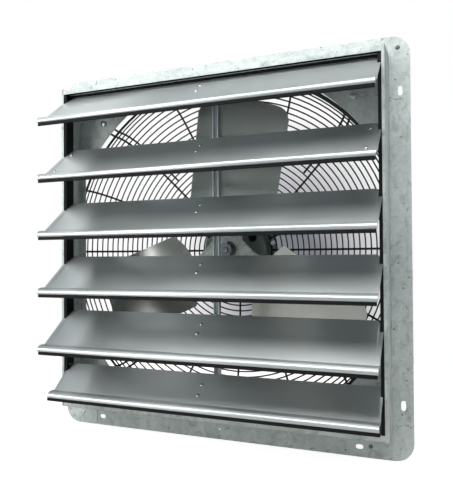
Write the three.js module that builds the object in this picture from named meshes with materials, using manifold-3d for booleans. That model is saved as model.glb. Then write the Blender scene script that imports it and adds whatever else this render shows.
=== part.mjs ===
// Shutter exhaust fan: a louvred wall box with a flange, a three blade fan, its motor and a domed wire guard.
// Millimetres. X runs to the right, Y from the outside into the room, Z up.
// The origin is on the fan's axis, in the plane of the flange's front face.

import * as THREE from 'three';
import { mergeVertices } from 'three/addons/utils/BufferGeometryUtils.js';
import Module from 'manifold-3d';

const wasm = await Module();
wasm.setup();

// Clearances shared by all pieces
const seat = 0.3; // between two pieces that bear on each other
const overrun = 1; // how far a cut or a joined solid runs past a face

// Blade circle, which sets the size of the box, the opening and the guard
const tipRadius = 307;

// Wall box: four bent channels with a flange behind and a lip in front
const sheet = 1.2;
const boxBesideBlades = 18; // side walls, outside the blade circle
const boxBeyondBlades = 20; // top and bottom walls, on average
const boxRise = 8; // the box stands higher than the fan's axis
const boxDepth = 63.5;
const endLip = 11; // lip of the top and bottom channels
const sideLip = 6;
const sideFlangeWidth = 35.5;
const endFlangeWidth = 42; // on average, at the top and bottom
const flangeCornerRadius = 33;
const seamInset = 78.5; // the left flange's corner ears, from the flange's edge
const hemWidth = 8;
const hemThickness = 0.9;

// Holes in the flange, from its edges
const sideSlotInset = 17;
const sideSlotFromEnd = 96.5;
const sideSlotLength = 17;
const sideSlotWidth = 7.5;
const sideHoleFromEnd = 179;
const endSlotInset = 18;
const endSlotFromSide = 92.5;
const endSlotLength = 13;
const endSlotWidth = 8;
const endHoleFromSide = 175;
const smallHoleRadius = 2.5;

// Orifice panel behind the flange
const panelSheet = 1;
const panelMargin = 2.5; // the panel stops short of the flange's edge
const panelHoleMargin = 0.8; // its holes are wider than the flange's, all round
const orificeBeyondBlades = 45.5; // round edge of the opening
const orificeSideInset = 12; // its straight sides, inside the box walls

// Louvres. The profile starts at the top edge and slopes down and out.
const louvreCount = 6;
const louvreOverfill = 8.76; // six pitches are longer than the box, as the last louvre is short
const louvreTopDrop = 15.1; // top edge of the first louvre, below the box's top
const louvreSetback = 17.3; // top edges, behind the box's front
const louvreEndGap = 6.5; // from the box's outside to a louvre's end
const notchWidth = 6.5; // upper corners, cut back so that they pass between the side lips
const notchLength = 26; // down the slope
const louvreSheet = 1;
const plateAngle = THREE.MathUtils.degToRad(38);
const plateShortfall = 11.16; // the plate is shorter than the pitch
const lastPlateAngle = THREE.MathUtils.degToRad(40.2);
const lastPlateShortfall = 41.26;
const noseLipLength = 19.5;
const noseLipDrop = 3;
const noseThickness = 4.6;
const noseHeight = 8;
const noseBulge = 1.6;
const edgeSealHeight = 6;
const edgeSealThickness = 3;
const edgeSealInset = 1.2; // shorter than the louvre at each end

// Louvre pivots: an ear bent down at each end carries a pin
const pivotOut = 8; // pivot, forward of the top edge
const pivotDown = 21; // and below it
const pinRadius = 2.9;
const pinReach = 10; // beyond the ear
const earRadius = 6;
const earSheet = 1.2;
const earStart = 8; // where the ear leaves the plate, down the slope
const earEnd = 42;

// Bearing strips on the side walls
const stripThickness = 4.5;
const stripSetback = 1.7; // behind the box's front
const stripDepth = 30.8;
const finDepth = 2.8; // fin along a strip's front, which closes the gap beside the louvres
const finReach = 6;
const topSealHeight = 12.9; // hangs from the top wall, behind the first louvre's edge
const topSealDepth = 2.7;
const topSealSetback = 19.5; // behind the box's front

// Link: one bracket under each louvre, all pinned to one tie bar
const rivetX = -7;
const rivetRows = [26, 50]; // down the slope
const rivetRadius = 2;
const rivetHeadRadius = 3.6;
const rivetHeadHeight = 1.5;
const bracketWidth = 14;
const bracketSheet = 1.2;
const bracketMargin = 6; // plate beyond each rivet
const linkPinInset = 16; // link pin, forward of the flange
const linkPinDrop = 27; // link pin, below the louvre's top edge
const linkPinRadius = 2;
const linkArmRadius = 5;
const barLeft = -2;
const barWidth = 12;
const barDepth = 11;
const barSheet = 1.2;
const barEnd = 6; // bar beyond its first and last pin

// Fan: three blades on a stamped spider
const bladeCount = 3;
const bladeSheet = 1.5;
const bladeFront = 22; // leading edge, behind the flange
const bladeBack = 78; // trailing edge
const bladeCamber = 7;
const leadingRoot = new THREE.Vector2(-69.5, 107);
const leadingTipDrop = 17; // below the blade circle's top
const leadingTip = new THREE.Vector2(-50, tipRadius - leadingTipDrop);
const trailingRoot = new THREE.Vector2(96, 103);
const trailingTipDrop = 22;
const trailingTip = new THREE.Vector2(127, tipRadius - trailingTipDrop);
const rootBottom = 81; // lowest point of the blade's root, above the axis
const rootBottomShare = 0.55; // how far across the chord it lies
const tipCornerDrop = 20;
const tipCornerShare = 0.14;
const armHalfWidth = 25;
const armFlare = 12;
const armFlareEnd = 62;
const armSeat = 0.5; // between an arm and its blade
const armStart = 14;
const armEnd = 172;
const armBlendStart = 32;
const armBlendEnd = 76;
const spiderY = 52;
const spiderSheet = 2;
const spiderRadius = 30;
const spiderBore = 8.5;
const hubRadius = 14;
const hubLength = 16;
const hubFlangeRadius = 17.5;
const hubFlangeSheet = 3;
const shaftRadius = 6.35;
const shaftFront = 33;
const setScrewRadius = 2.5;
const setScrewHead = 3;

// Motor
const motorRadius = 65;
const motorAhead = 30; // how far it reaches in front of the guard's hub ring
const motorLength = 100;
const shellSheet = 3;
const bellDepth = 8;
const bellSheet = 3;
const bellCorner = 6;
const bearingRadius = 16;
const bearingLength = 9.4;
const bearingWall = 3.7;
const statorLength = 56;
const statorThickness = 22.4;
const airGap = 0.6;
const capacitorRadius = 17;
const capacitorLength = 56;
const capacitorAngle = THREE.MathUtils.degToRad(236);

// Wire guard: a dome that follows a super ellipse from its rim to its hub ring
const guardRimInset = 2.5; // rim ring, inside the orifice's edge
const guardRimY = 20;
const guardRise = 100;
const guardPower = 3;
const guardHubMargin = 7; // hub ring, outside the motor
const guardRingCount = 5;
const guardSpokeCount = 16;
const rimWire = 2.5;
const ringWire = 1.5;
const spokeWire = 2;
const spokeLift = 2.6; // spokes lie outside the rings
const hairpinHalfWidth = 6.5;
const hairpinSteps = 7; // along the dome
const shortLegStart = 3; // the leg further from the horizontal ends here, counted from the hub ring
const guardBoltMargin = 26.5; // outside the orifice's edge
const guardBoltSlant = THREE.MathUtils.degToRad(45.86);
const guardBoltRadius = 3;
const boltHeadRadius = 6.5;
const boltHeadHeight = 4;
const boltNutHeight = 5;
const washerRadius = 9.5;
const washerSheet = 1.2;

// Motor mount: a ring plate on the guard's hub ring, with a tab for the junction box
const mountEdge = 12; // plate's edge, outside the hub ring
const mountSheet = 2.5;
const mountBoltOffset = 5.5; // bolts, outside the hub ring
const mountBoltRadius = 2;
const mountBoltCount = 4;
const mountWasherRadius = 5.5;
const mountHeadHeight = 2;
const mountNutRadius = 4;
const mountNutHeight = 4;
const mountBoltEnd = 2; // beyond the nut

// Wiring
const junctionWidth = 76;
const junctionHeight = 52;
const junctionDepth = 40;
const junctionWall = 1.5;
const junctionOverlap = 9; // how far the tab reaches inside the plate's edge
const junctionBottom = 32; // above the axis
const leadRadius = 3.2;
const leadEntryInset = 11; // from the junction box's left side
const leadEntryRise = 22; // and above its bottom
const leadExitInset = 17.3; // from the motor's edge
const leadExitAngle = THREE.MathUtils.degToRad(33);
const grommetRadius = 7;
const grommetLip = 2;
const bushingRadius = 6;
const bushingFlangeRadius = 8.5;

// Derived sizes and places
const boxHalfWidth = tipRadius + boxBesideBlades;
const boxHalfHeight = tipRadius + boxBeyondBlades;
const boxTop = boxRise + boxHalfHeight;
const boxBottom = boxRise - boxHalfHeight;
const flangeHalfWidth = boxHalfWidth + sideFlangeWidth;
const flangeHalfHeight = boxHalfHeight + endFlangeWidth;
const leftSeam = flangeHalfWidth - seamInset;
const orificeRadius = tipRadius + orificeBeyondBlades;
const orificeHalfWidth = boxHalfWidth - orificeSideInset;
const louvrePitch = (2 * boxHalfHeight + louvreOverfill) / louvreCount;
const louvreTop = boxTop - louvreTopDrop;
const louvreInset = boxDepth - louvreSetback; // top edges, forward of the flange
const louvreHalfLength = boxHalfWidth - louvreEndGap;
const earFace = louvreHalfLength - notchWidth;
const plateLength = louvrePitch - plateShortfall;
const lastPlateLength = louvrePitch - lastPlateShortfall;
const stripFront = boxDepth - stripSetback;
const stripBack = stripFront - stripDepth;
const innerHalfWidth = boxHalfWidth - sheet;
const innerTop = boxTop - sheet;
const innerBottom = boxBottom + sheet;
const panelFront = sheet + seat;
const panelBack = panelFront + panelSheet;
const guardRadius = orificeRadius - guardRimInset;
const guardHubRadius = motorRadius + guardHubMargin;
const guardBoltDistance = orificeRadius + guardBoltMargin;
const guardBoltX = guardBoltDistance * Math.cos(guardBoltSlant);
const guardBoltZ = guardBoltDistance * Math.sin(guardBoltSlant);
const guardHubY = guardRimY + guardRise;
const motorFront = guardHubY - motorAhead;
const motorBack = motorFront + motorLength;
const statorRadius = motorRadius - shellSheet - seat;
const rotorRadius = statorRadius - statorThickness - airGap;
const shellFront = motorFront + bellDepth + seat;
const shellBack = motorBack - bellDepth - seat;
const mountFront = guardHubY + spokeLift + spokeWire + seat;
const mountBack = mountFront + mountSheet;
const hairpinY = panelBack + 2 * seat + spokeWire;
const mountOuterRadius = guardHubRadius + mountEdge;
const mountBoltCircle = guardHubRadius + mountBoltOffset;
const junctionLeft = mountOuterRadius - junctionOverlap;
const junctionCentre = new THREE.Vector2(junctionLeft + junctionWidth / 2, junctionBottom + junctionHeight / 2);
const leadEntry = new THREE.Vector2(junctionLeft + leadEntryInset, junctionBottom + leadEntryRise);
const leadExit = new THREE.Vector2(Math.cos(leadExitAngle), Math.sin(leadExitAngle));
leadExit.multiplyScalar(motorRadius - leadExitInset);

// Materials
function paint(color, roughness, metalness) {
  return new THREE.MeshStandardMaterial({ color, roughness, metalness });
}
const galvanised = paint(0xb6bcba, 0.45, 0.7);
const louvreMetal = paint(0x8e9294, 0.35, 0.8);
const blackRubber = paint(0x141515, 0.8, 0);
const blackEnamel = paint(0x101112, 0.5, 0.2);
const bladeMetal = paint(0x8c8c88, 0.4, 0.8);
const motorPaint = paint(0x2c3532, 0.5, 0.3);
const steel = paint(0x9a9c9c, 0.35, 0.9);
const copper = paint(0x9a5b34, 0.5, 0.6);
const zinc = paint(0xc4c8c8, 0.35, 0.8);

const fan = new THREE.Group();

function add(name, geometry, material) {
  const mesh = new THREE.Mesh(geometry, material);
  mesh.name = name;
  fan.add(mesh);
  return mesh;
}

// Solids for joins and cuts
function solid(geometry) {
  const bare = geometry.clone();
  bare.deleteAttribute('normal');
  bare.deleteAttribute('uv');
  const merged = mergeVertices(bare);
  const corners = merged.index.array;
  const kept = [];
  for (let i = 0; i < corners.length; i += 3) {
    const [a, b, c] = [corners[i], corners[i + 1], corners[i + 2]];
    if (a !== b && b !== c && c !== a) kept.push(a, b, c);
  }
  const vertProperties = new Float32Array(merged.attributes.position.array);
  const triVerts = new Uint32Array(kept);
  return new wasm.Manifold(new wasm.Mesh({ numProp: 3, vertProperties, triVerts }));
}

function shapeOf(body) {
  const mesh = body.getMesh();
  const geometry = new THREE.BufferGeometry();
  geometry.setAttribute('position', new THREE.BufferAttribute(mesh.vertProperties, 3));
  geometry.setIndex(new THREE.BufferAttribute(mesh.triVerts, 1));
  geometry.computeVertexNormals();
  return geometry;
}

function join(geometries) {
  return geometries.map(solid).reduce((whole, piece) => whole.add(piece));
}

function mirrored(geometry, scaleX, scaleZ) {
  geometry.scale(scaleX, 1, scaleZ);
  const corners = geometry.index.array;
  for (let i = 0; i < corners.length; i += 3) {
    [corners[i], corners[i + 1]] = [corners[i + 1], corners[i]];
  }
  geometry.computeVertexNormals();
  return geometry;
}

// Plates drawn in two axes and given a thickness along the third
function outline(points) {
  return new THREE.Shape(points.map(([a, b]) => new THREE.Vector2(a, b)));
}

function rectangle(left, bottom, right, top) {
  return outline([[left, bottom], [right, bottom], [right, top], [left, top]]);
}

function circle(x, y, radius, points = 16) {
  const path = new THREE.Shape();
  path.absarc(x, y, radius, 0, 2 * Math.PI, false);
  return new THREE.Shape(path.getPoints(points / 2).slice(0, -1));
}

function slot(x, y, length, width, upright) {
  const half = (length - width) / 2;
  const radius = width / 2;
  const path = new THREE.Shape();
  if (upright) {
    path.absarc(x, y + half, radius, 0, Math.PI, false);
    path.absarc(x, y - half, radius, Math.PI, 2 * Math.PI, false);
  } else {
    path.absarc(x + half, y, radius, -Math.PI / 2, Math.PI / 2, false);
    path.absarc(x - half, y, radius, Math.PI / 2, 1.5 * Math.PI, false);
  }
  return path;
}

function extrude(shape, depth, curveSegments = 6) {
  return new THREE.ExtrudeGeometry(shape, { depth, bevelEnabled: false, curveSegments });
}

// Outline in X and Z, thickness towards the room from y
function plateXZ(shape, y, thickness, curveSegments) {
  const geometry = extrude(shape, thickness, curveSegments);
  geometry.rotateX(Math.PI / 2);
  geometry.translate(0, y + thickness, 0);
  return geometry;
}

// Outline in Y and Z, thickness along X from x
const turnToX = new THREE.Matrix4().set(0, 0, 1, 0, 1, 0, 0, 0, 0, 1, 0, 0, 0, 0, 0, 1);
function plateYZ(shape, x, thickness, curveSegments) {
  const geometry = extrude(shape, thickness, curveSegments);
  geometry.applyMatrix4(turnToX);
  geometry.translate(x, 0, 0);
  return geometry;
}

function block(x0, y0, z0, x1, y1, z1) {
  const geometry = new THREE.BoxGeometry(x1 - x0, y1 - y0, z1 - z0);
  geometry.translate((x0 + x1) / 2, (y0 + y1) / 2, (z0 + z1) / 2);
  return geometry;
}

// Round bar along Y or along X
function barY(x, z, radius, y0, y1, sides = 12) {
  const geometry = new THREE.CylinderGeometry(radius, radius, y1 - y0, sides);
  geometry.translate(x, (y0 + y1) / 2, z);
  return geometry;
}

function barX(y, z, radius, x0, x1, sides = 8) {
  const geometry = new THREE.CylinderGeometry(radius, radius, x1 - x0, sides);
  geometry.rotateZ(Math.PI / 2);
  geometry.translate((x0 + x1) / 2, y, z);
  return geometry;
}

// Turned piece about the fan's axis, from a closed profile of radius and Y
function turned(profile, segments = 20) {
  const points = [...profile, profile[0]].map(([r, y]) => new THREE.Vector2(r, y));
  return new THREE.LatheGeometry(points, segments);
}

function ring(innerRadius, outerRadius, y0, y1, segments) {
  return turned([[innerRadius, y0], [outerRadius, y0], [outerRadius, y1], [innerRadius, y1]], segments);
}

// Holes in the flange and, a little wider, in the panel behind it
const sideHoleX = flangeHalfWidth - sideSlotInset;
const endHoleZ = flangeHalfHeight - endSlotInset;
function sideHoles(x, margin) {
  const slotZ = flangeHalfHeight - sideSlotFromEnd;
  const holeZ = flangeHalfHeight - sideHoleFromEnd;
  return [
    ...[-slotZ, slotZ].map((z) => slot(
      x, z, sideSlotLength + 2 * margin, sideSlotWidth + 2 * margin, true,
    )),
    ...[-holeZ, 0, holeZ].map((z) => circle(x, z, smallHoleRadius + margin, 8)),
  ];
}

function endHoles(z, margin) {
  const slotX = flangeHalfWidth - endSlotFromSide;
  const holeX = flangeHalfWidth - endHoleFromSide;
  return [
    ...[-slotX, slotX].map((x) => slot(
      x, z, endSlotLength + 2 * margin, endSlotWidth + 2 * margin, false,
    )),
    ...[-holeX, holeX].map((x) => circle(x, z, smallHoleRadius + margin, 8)),
  ];
}

// Side channels: wall, front lip, and a flange over the full height
function sideFlange(side) {
  const outer = flangeHalfWidth;
  const height = flangeHalfHeight;
  const radius = flangeCornerRadius;
  const inner = side > 0 ? innerHalfWidth : leftSeam;
  const shape = new THREE.Shape();
  shape.moveTo(inner, -height);
  shape.lineTo(outer - radius, -height);
  shape.absarc(outer - radius, -height + radius, radius, -Math.PI / 2, 0, false);
  shape.absarc(outer - radius, height - radius, radius, 0, Math.PI / 2, false);
  shape.lineTo(inner, height);
  if (side < 0) {
    shape.lineTo(leftSeam, boxTop + seat);
    shape.lineTo(innerHalfWidth, boxTop + seat);
    shape.lineTo(innerHalfWidth, boxBottom - seat);
    shape.lineTo(leftSeam, boxBottom - seat);
  }
  shape.holes.push(...sideHoles(sideHoleX, 0));
  return plateXZ(shape, 0, sheet, 4);
}

function sideChannel(side) {
  const wall = block(innerHalfWidth, -boxDepth, boxBottom, boxHalfWidth, sheet, boxTop);
  const lipEdge = boxHalfWidth - sideLip;
  const lipTop = boxTop - endLip - seat;
  const lipBottom = boxBottom + endLip + seat;
  const lip = block(lipEdge, -boxDepth, lipBottom, boxHalfWidth, -boxDepth + sheet, lipTop);
  const straight = flangeHalfHeight - flangeCornerRadius;
  const hem = block(flangeHalfWidth - hemWidth, -hemThickness, -straight, flangeHalfWidth, sheet, straight);
  const geometry = shapeOf(join([sideFlange(side), wall, lip, hem]));
  return side < 0 ? mirrored(geometry, -1, 1) : geometry;
}

add('side_channel_left', sideChannel(-1), galvanised);
add('side_channel_right', sideChannel(1), galvanised);

// Top and bottom channels fit between the side walls
function endChannel(end) {
  const edge = end > 0 ? boxTop : -boxBottom;
  const halfSpan = innerHalfWidth - seat;
  const flange = rectangle(-leftSeam + seat, edge - sheet, halfSpan, flangeHalfHeight);
  flange.holes.push(...endHoles(endHoleZ, 0), circle(0, endHoleZ, smallHoleRadius, 8));
  const wall = block(-halfSpan, -boxDepth, edge - sheet, halfSpan, sheet, edge);
  const lip = block(-halfSpan, -boxDepth, edge - endLip, halfSpan, -boxDepth + sheet, edge);
  return shapeOf(join([plateXZ(flange, 0, sheet), wall, lip]));
}

add('top_channel', endChannel(1), galvanised);
add('bottom_channel', mirrored(endChannel(-1), 1, -1), galvanised);

// Orifice panel: a flat plate whose round opening is cut straight at both sides
function orificePanel() {
  const halfWidth = flangeHalfWidth - panelMargin;
  const halfHeight = flangeHalfHeight - panelMargin;
  const corner = flangeCornerRadius - panelMargin;
  const shape = new THREE.Shape();
  for (const [i, [sideX, sideZ]] of [[1, 1], [-1, 1], [-1, -1], [1, -1]].entries()) {
    const x = sideX * (halfWidth - corner);
    const z = sideZ * (halfHeight - corner);
    shape.absarc(x, z, corner, (i * Math.PI) / 2, ((i + 1) * Math.PI) / 2, false);
  }
  const turn = Math.acos(orificeHalfWidth / orificeRadius);
  const opening = new THREE.Path();
  opening.absarc(0, 0, orificeRadius, turn, Math.PI - turn, false);
  opening.absarc(0, 0, orificeRadius, Math.PI + turn, 2 * Math.PI - turn, false);
  opening.closePath();
  shape.holes.push(opening);
  for (const x of [-guardBoltX, guardBoltX]) {
    for (const z of [-guardBoltZ, guardBoltZ]) {
      shape.holes.push(circle(x, z, guardBoltRadius + seat, 12));
    }
  }
  const margin = panelHoleMargin;
  for (const hole of [
    ...sideHoles(-sideHoleX, margin), ...sideHoles(sideHoleX, margin),
    ...endHoles(-endHoleZ, margin), ...endHoles(endHoleZ, margin),
  ]) shape.holes.push(new THREE.Path(hole.getPoints(2)));
  return plateXZ(shape, panelFront, panelSheet, 12);
}

add('orifice_panel', orificePanel(), galvanised);

// Louvre places. The last louvre is shorter than the others.
function louvrePlace(index) {
  const last = index === louvreCount - 1;
  const angle = last ? lastPlateAngle : plateAngle;
  const length = last ? lastPlateLength : plateLength;
  return { y: -louvreInset, z: louvreTop - louvrePitch * index, angle, length };
}

// Bearing strips carry the louvre pins, and a fin along their front reaches inwards
function bearingStrip(side) {
  const inner = innerHalfWidth - seat - stripThickness;
  const shape = rectangle(-stripFront, innerBottom + seat, -stripBack, innerTop - seat);
  for (let i = 0; i < louvreCount; i += 1) {
    const place = louvrePlace(i);
    shape.holes.push(circle(place.y - pivotOut, place.z - pivotDown, pinRadius + seat, 10));
  }
  const strip = plateYZ(shape, inner, stripThickness);
  const fin = block(
    inner - finReach, -stripFront, innerBottom + seat, inner + overrun, finDepth - stripFront, innerTop - seat,
  );
  const geometry = shapeOf(join([strip, fin]));
  return side < 0 ? mirrored(geometry, -1, 1) : geometry;
}

add('bearing_strip_left', bearingStrip(-1), blackRubber);
add('bearing_strip_right', bearingStrip(1), blackRubber);

const topSealFront = topSealSetback - boxDepth;
const topSealSpan = innerHalfWidth - stripThickness - 2 * seat;
add(
  'top_seal',
  block(
    -topSealSpan, topSealFront, innerTop - seat - topSealHeight,
    topSealSpan, topSealFront + topSealDepth, innerTop - seat,
  ),
  blackRubber,
);

// Louvre plate: sloping blade, forward lip, rounded nose, two end ears and two pivot pins
function louvreProfile(place) {
  const slopeY = -Math.cos(place.angle);
  const slopeZ = -Math.sin(place.angle);
  const underY = -slopeZ * louvreSheet;
  const underZ = slopeY * louvreSheet;
  const jointY = slopeY * place.length;
  const jointZ = slopeZ * place.length;
  const noseY = jointY - noseLipLength;
  const noseZ = jointZ - noseLipDrop;
  const bottomZ = noseZ - noseHeight;
  const shape = new THREE.Shape();
  shape.moveTo(0, 0);
  shape.lineTo(jointY, jointZ);
  shape.lineTo(noseY, noseZ);
  shape.quadraticCurveTo(noseY - 2 * noseBulge, noseZ - noseHeight / 2, noseY, bottomZ);
  shape.lineTo(noseY + noseThickness, bottomZ);
  shape.lineTo(noseY + noseThickness, noseZ - louvreSheet);
  shape.lineTo(jointY, jointZ - louvreSheet);
  shape.lineTo(-underY, underZ);
  return { shape, noseY, bottomZ };
}

function louvrePlate(index) {
  const place = louvrePlace(index);
  const { shape } = louvreProfile(place);
  const blade = plateYZ(shape, -louvreHalfLength, 2 * louvreHalfLength, 3);
  const along = (distance) => [-Math.cos(place.angle) * distance, -Math.sin(place.angle) * distance];
  const [startY, startZ] = along(earStart);
  const [endY, endZ] = along(earEnd);
  const skin = louvreSheet / 2;
  const ear = new THREE.Shape();
  ear.moveTo(startY, startZ - skin);
  ear.lineTo(endY, endZ - skin);
  ear.absarc(-pivotOut, -pivotDown, earRadius, Math.PI + place.angle, 2 * Math.PI, false);
  const pieces = [blade];
  for (const side of [-1, 1]) {
    const outer = side * earFace;
    const inner = outer - side * earSheet;
    pieces.push(plateYZ(ear, Math.min(inner, outer), earSheet, 3));
    const tip = outer + side * pinReach;
    pieces.push(barX(-pivotOut, -pivotDown, pinRadius, Math.min(inner, tip), Math.max(inner, tip)));
  }
  let body = join(pieces);
  for (const side of [-1, 1]) {
    const far = side * (louvreHalfLength + overrun);
    const near = side * earFace;
    const notch = block(
      Math.min(near, far), -notchLength, -louvreSheet - overrun, Math.max(near, far), overrun, overrun,
    );
    body = body.subtract(solid(notch.rotateX(place.angle)));
  }
  for (const row of rivetRows) {
    body = body.subtract(solid(rivet(place.angle, row, rivetRadius + seat, -2 * overrun, 2 * overrun)));
  }
  return shapeOf(body);
}

// Round stem square to a louvre's slope, from below its face to above it
function rivet(angle, row, radius, from, to) {
  const geometry = new THREE.CylinderGeometry(radius, radius, to - from, 6);
  geometry.translate(0, (from + to) / 2, 0);
  geometry.rotateX(Math.PI / 2 + angle);
  geometry.translate(rivetX, -Math.cos(angle) * row, -Math.sin(angle) * row);
  return geometry;
}

function edgeSeal(index) {
  const { noseY, bottomZ } = louvreProfile(louvrePlace(index));
  const front = noseY + (noseThickness - edgeSealThickness) / 2;
  const top = bottomZ - seat;
  const back = front + edgeSealThickness;
  const shape = new THREE.Shape();
  shape.moveTo(front, top);
  shape.lineTo(front, top - edgeSealHeight + edgeSealThickness / 2);
  const middle = (front + back) / 2;
  shape.quadraticCurveTo(middle, top - edgeSealHeight, back, top - edgeSealHeight + edgeSealThickness / 2);
  shape.lineTo(back, top);
  const half = louvreHalfLength - edgeSealInset;
  return plateYZ(shape, -half, 2 * half, 3);
}

// Bracket under the louvre: a riveted foot, and an arm back to the link pin
function linkBracket(index) {
  const place = louvrePlace(index);
  const pinY = louvreInset - linkPinInset;
  const slope = [-Math.cos(place.angle), -Math.sin(place.angle)];
  const below = [-Math.sin(place.angle), Math.cos(place.angle)].map((share) => -share);
  const onSlope = (distance, depth) => [
    slope[0] * distance + below[0] * depth,
    slope[1] * distance + below[1] * depth,
  ];
  const top = louvreSheet + seat;
  const footStart = rivetRows[0] - bracketMargin;
  const footEnd = rivetRows[1] + bracketMargin;
  const foot = outline([
    onSlope(footStart, top),
    onSlope(footEnd, top),
    onSlope(footEnd, top + bracketSheet),
    onSlope(footStart, top + bracketSheet),
  ]);
  const footLeft = rivetX - bracketWidth / 2;
  const armX = barLeft - 2 * seat - bracketSheet;
  const arm = new THREE.Shape();
  arm.moveTo(...onSlope(footStart, top));
  arm.lineTo(...onSlope(footEnd, top));
  arm.absarc(pinY, -linkPinDrop, linkArmRadius, -Math.PI / 2, Math.PI / 2, false);
  const pinEnd = barLeft + barWidth + seat;
  const pieces = [
    plateYZ(foot, footLeft, bracketWidth),
    plateYZ(arm, armX, bracketSheet, 3),
    barX(pinY, -linkPinDrop, linkPinRadius, armX, pinEnd),
  ];
  for (const row of rivetRows) {
    const head = seat + rivetHeadHeight;
    pieces.push(rivet(place.angle, row, rivetRadius, -top - bracketSheet, head));
    pieces.push(rivet(place.angle, row, rivetHeadRadius, seat, head));
  }
  return shapeOf(join(pieces));
}

for (let i = 0; i < louvreCount; i += 1) {
  const place = louvrePlace(i);
  const pieces = [
    add(`louvre_${i + 1}_plate`, louvrePlate(i), louvreMetal),
    add(`louvre_${i + 1}_edge_seal`, edgeSeal(i), blackRubber),
    add(`louvre_${i + 1}_bracket`, linkBracket(i), louvreMetal),
  ];
  for (const piece of pieces) piece.position.set(0, place.y, place.z);
}

// Tie bar: a channel, open to the front, pinned through both legs
function tieBar() {
  const front = -linkPinInset - barDepth / 2;
  const back = front + barDepth;
  const topPin = louvreTop - linkPinDrop;
  const bottomPin = topPin - louvrePitch * (louvreCount - 1);
  const leg = rectangle(front, bottomPin - barEnd, back, topPin + barEnd);
  for (let i = 0; i < louvreCount; i += 1) {
    leg.holes.push(circle(-linkPinInset, topPin - louvrePitch * i, linkPinRadius + seat, 8));
  }
  const right = barLeft + barWidth;
  const web = block(barLeft, back - barSheet, bottomPin - barEnd, right, back, topPin + barEnd);
  return shapeOf(join([plateYZ(leg, barLeft, barSheet), plateYZ(leg, right - barSheet, barSheet), web]));
}

add('tie_bar', tieBar(), louvreMetal);

// Blade surface over the blade that points up
function edgeX(root, tip, z) {
  return THREE.MathUtils.mapLinear(z, root.y, tip.y, root.x, tip.x);
}

function bladeY(x, z) {
  const left = edgeX(leadingRoot, leadingTip, z);
  const right = edgeX(trailingRoot, trailingTip, z);
  const across = (x - left) / (right - left);
  return THREE.MathUtils.lerp(bladeFront, bladeBack, across) + 4 * bladeCamber * across * (1 - across);
}

function rootZ(across) {
  const left = across < rootBottomShare;
  const rise = (left ? leadingRoot.y : trailingRoot.y) - rootBottom;
  const span = left ? rootBottomShare : 1 - rootBottomShare;
  return rootBottom + rise * ((across - rootBottomShare) / span) ** 2;
}

function tipZ(across) {
  const x = THREE.MathUtils.lerp(leadingTip.x, trailingTip.x, across);
  const edge = Math.min(across, 1 - across) / tipCornerShare;
  const drop = edge < 1 ? tipCornerDrop * (1 - Math.sqrt(1 - (1 - edge) ** 2)) : 0;
  return Math.sqrt(tipRadius ** 2 - x ** 2) - drop;
}

function blade() {
  const geometry = new THREE.BoxGeometry(1, 1, 1, 10, 6, 1);
  const place = geometry.attributes.position;
  for (let i = 0; i < place.count; i += 1) {
    const across = place.getX(i) + 0.5;
    const z = THREE.MathUtils.lerp(rootZ(across), tipZ(across), place.getY(i) + 0.5);
    const x = THREE.MathUtils.lerp(
      edgeX(leadingRoot, leadingTip, z), edgeX(trailingRoot, trailingTip, z), across,
    );
    place.setXYZ(i, x, bladeY(x, z) - place.getZ(i) * bladeSheet, z);
  }
  return geometry;
}

// Spider: a disc with an arm up the back of each blade
function spiderArm() {
  const geometry = new THREE.BoxGeometry(1, 1, 1, 4, 8, 1);
  const place = geometry.attributes.position;
  for (let i = 0; i < place.count; i += 1) {
    const z = THREE.MathUtils.lerp(armStart, armEnd, place.getY(i) + 0.5);
    const flare = Math.max(armFlareEnd - z, 0) / (armFlareEnd - armStart);
    const x = 2 * place.getX(i) * (armHalfWidth + armFlare * flare ** 2);
    const blend = THREE.MathUtils.smoothstep(z, armBlendStart, armBlendEnd);
    const onBlade = bladeY(x, z) + (bladeSheet + spiderSheet) / 2 + armSeat;
    const y = THREE.MathUtils.lerp(spiderY + spiderSheet / 2, onBlade, blend);
    place.setXYZ(i, x, y - place.getZ(i) * spiderSheet, z);
  }
  return geometry;
}

function spider() {
  let body = solid(barY(0, 0, spiderRadius, spiderY, spiderY + spiderSheet, 28));
  for (let i = 0; i < bladeCount; i += 1) {
    const arm = spiderArm();
    arm.rotateY((2 * Math.PI * i) / bladeCount);
    body = body.add(solid(arm));
  }
  return shapeOf(body.subtract(solid(barY(0, 0, spiderBore, 0, motorFront, 20))));
}

for (let i = 0; i < bladeCount; i += 1) {
  const piece = add(`blade_${i + 1}`, blade(), bladeMetal);
  piece.rotation.y = (2 * Math.PI * i) / bladeCount;
}
add('spider', spider(), galvanised);

// Hub: a boss on the shaft with a flange under the spider
const hubBack = spiderY - seat;
const hubFront = hubBack - hubLength;
function hub() {
  const bore = shaftRadius + seat;
  const flangeFront = hubBack - hubFlangeSheet;
  const boss = turned([
    [bore, hubFront], [hubRadius, hubFront], [hubRadius, flangeFront],
    [hubFlangeRadius, flangeFront], [hubFlangeRadius, hubBack], [bore, hubBack],
  ], 24);
  const screw = new THREE.CylinderGeometry(setScrewRadius + seat, setScrewRadius + seat, 2 * hubRadius, 10);
  screw.translate(0, hubRadius, 0);
  screw.rotateX(Math.PI / 2);
  screw.translate(0, (hubFront + flangeFront) / 2, 0);
  return shapeOf(solid(boss).subtract(solid(screw)));
}

function setScrew() {
  const start = shaftRadius + seat;
  const length = hubRadius + setScrewHead - start;
  const geometry = new THREE.CylinderGeometry(setScrewRadius, setScrewRadius, length, 10);
  geometry.rotateX(Math.PI / 2);
  geometry.translate(0, (hubFront + hubBack - hubFlangeSheet) / 2, start + length / 2);
  return geometry;
}

add('fan_hub', hub(), steel);
add('hub_set_screw', setScrew(), steel);

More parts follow.
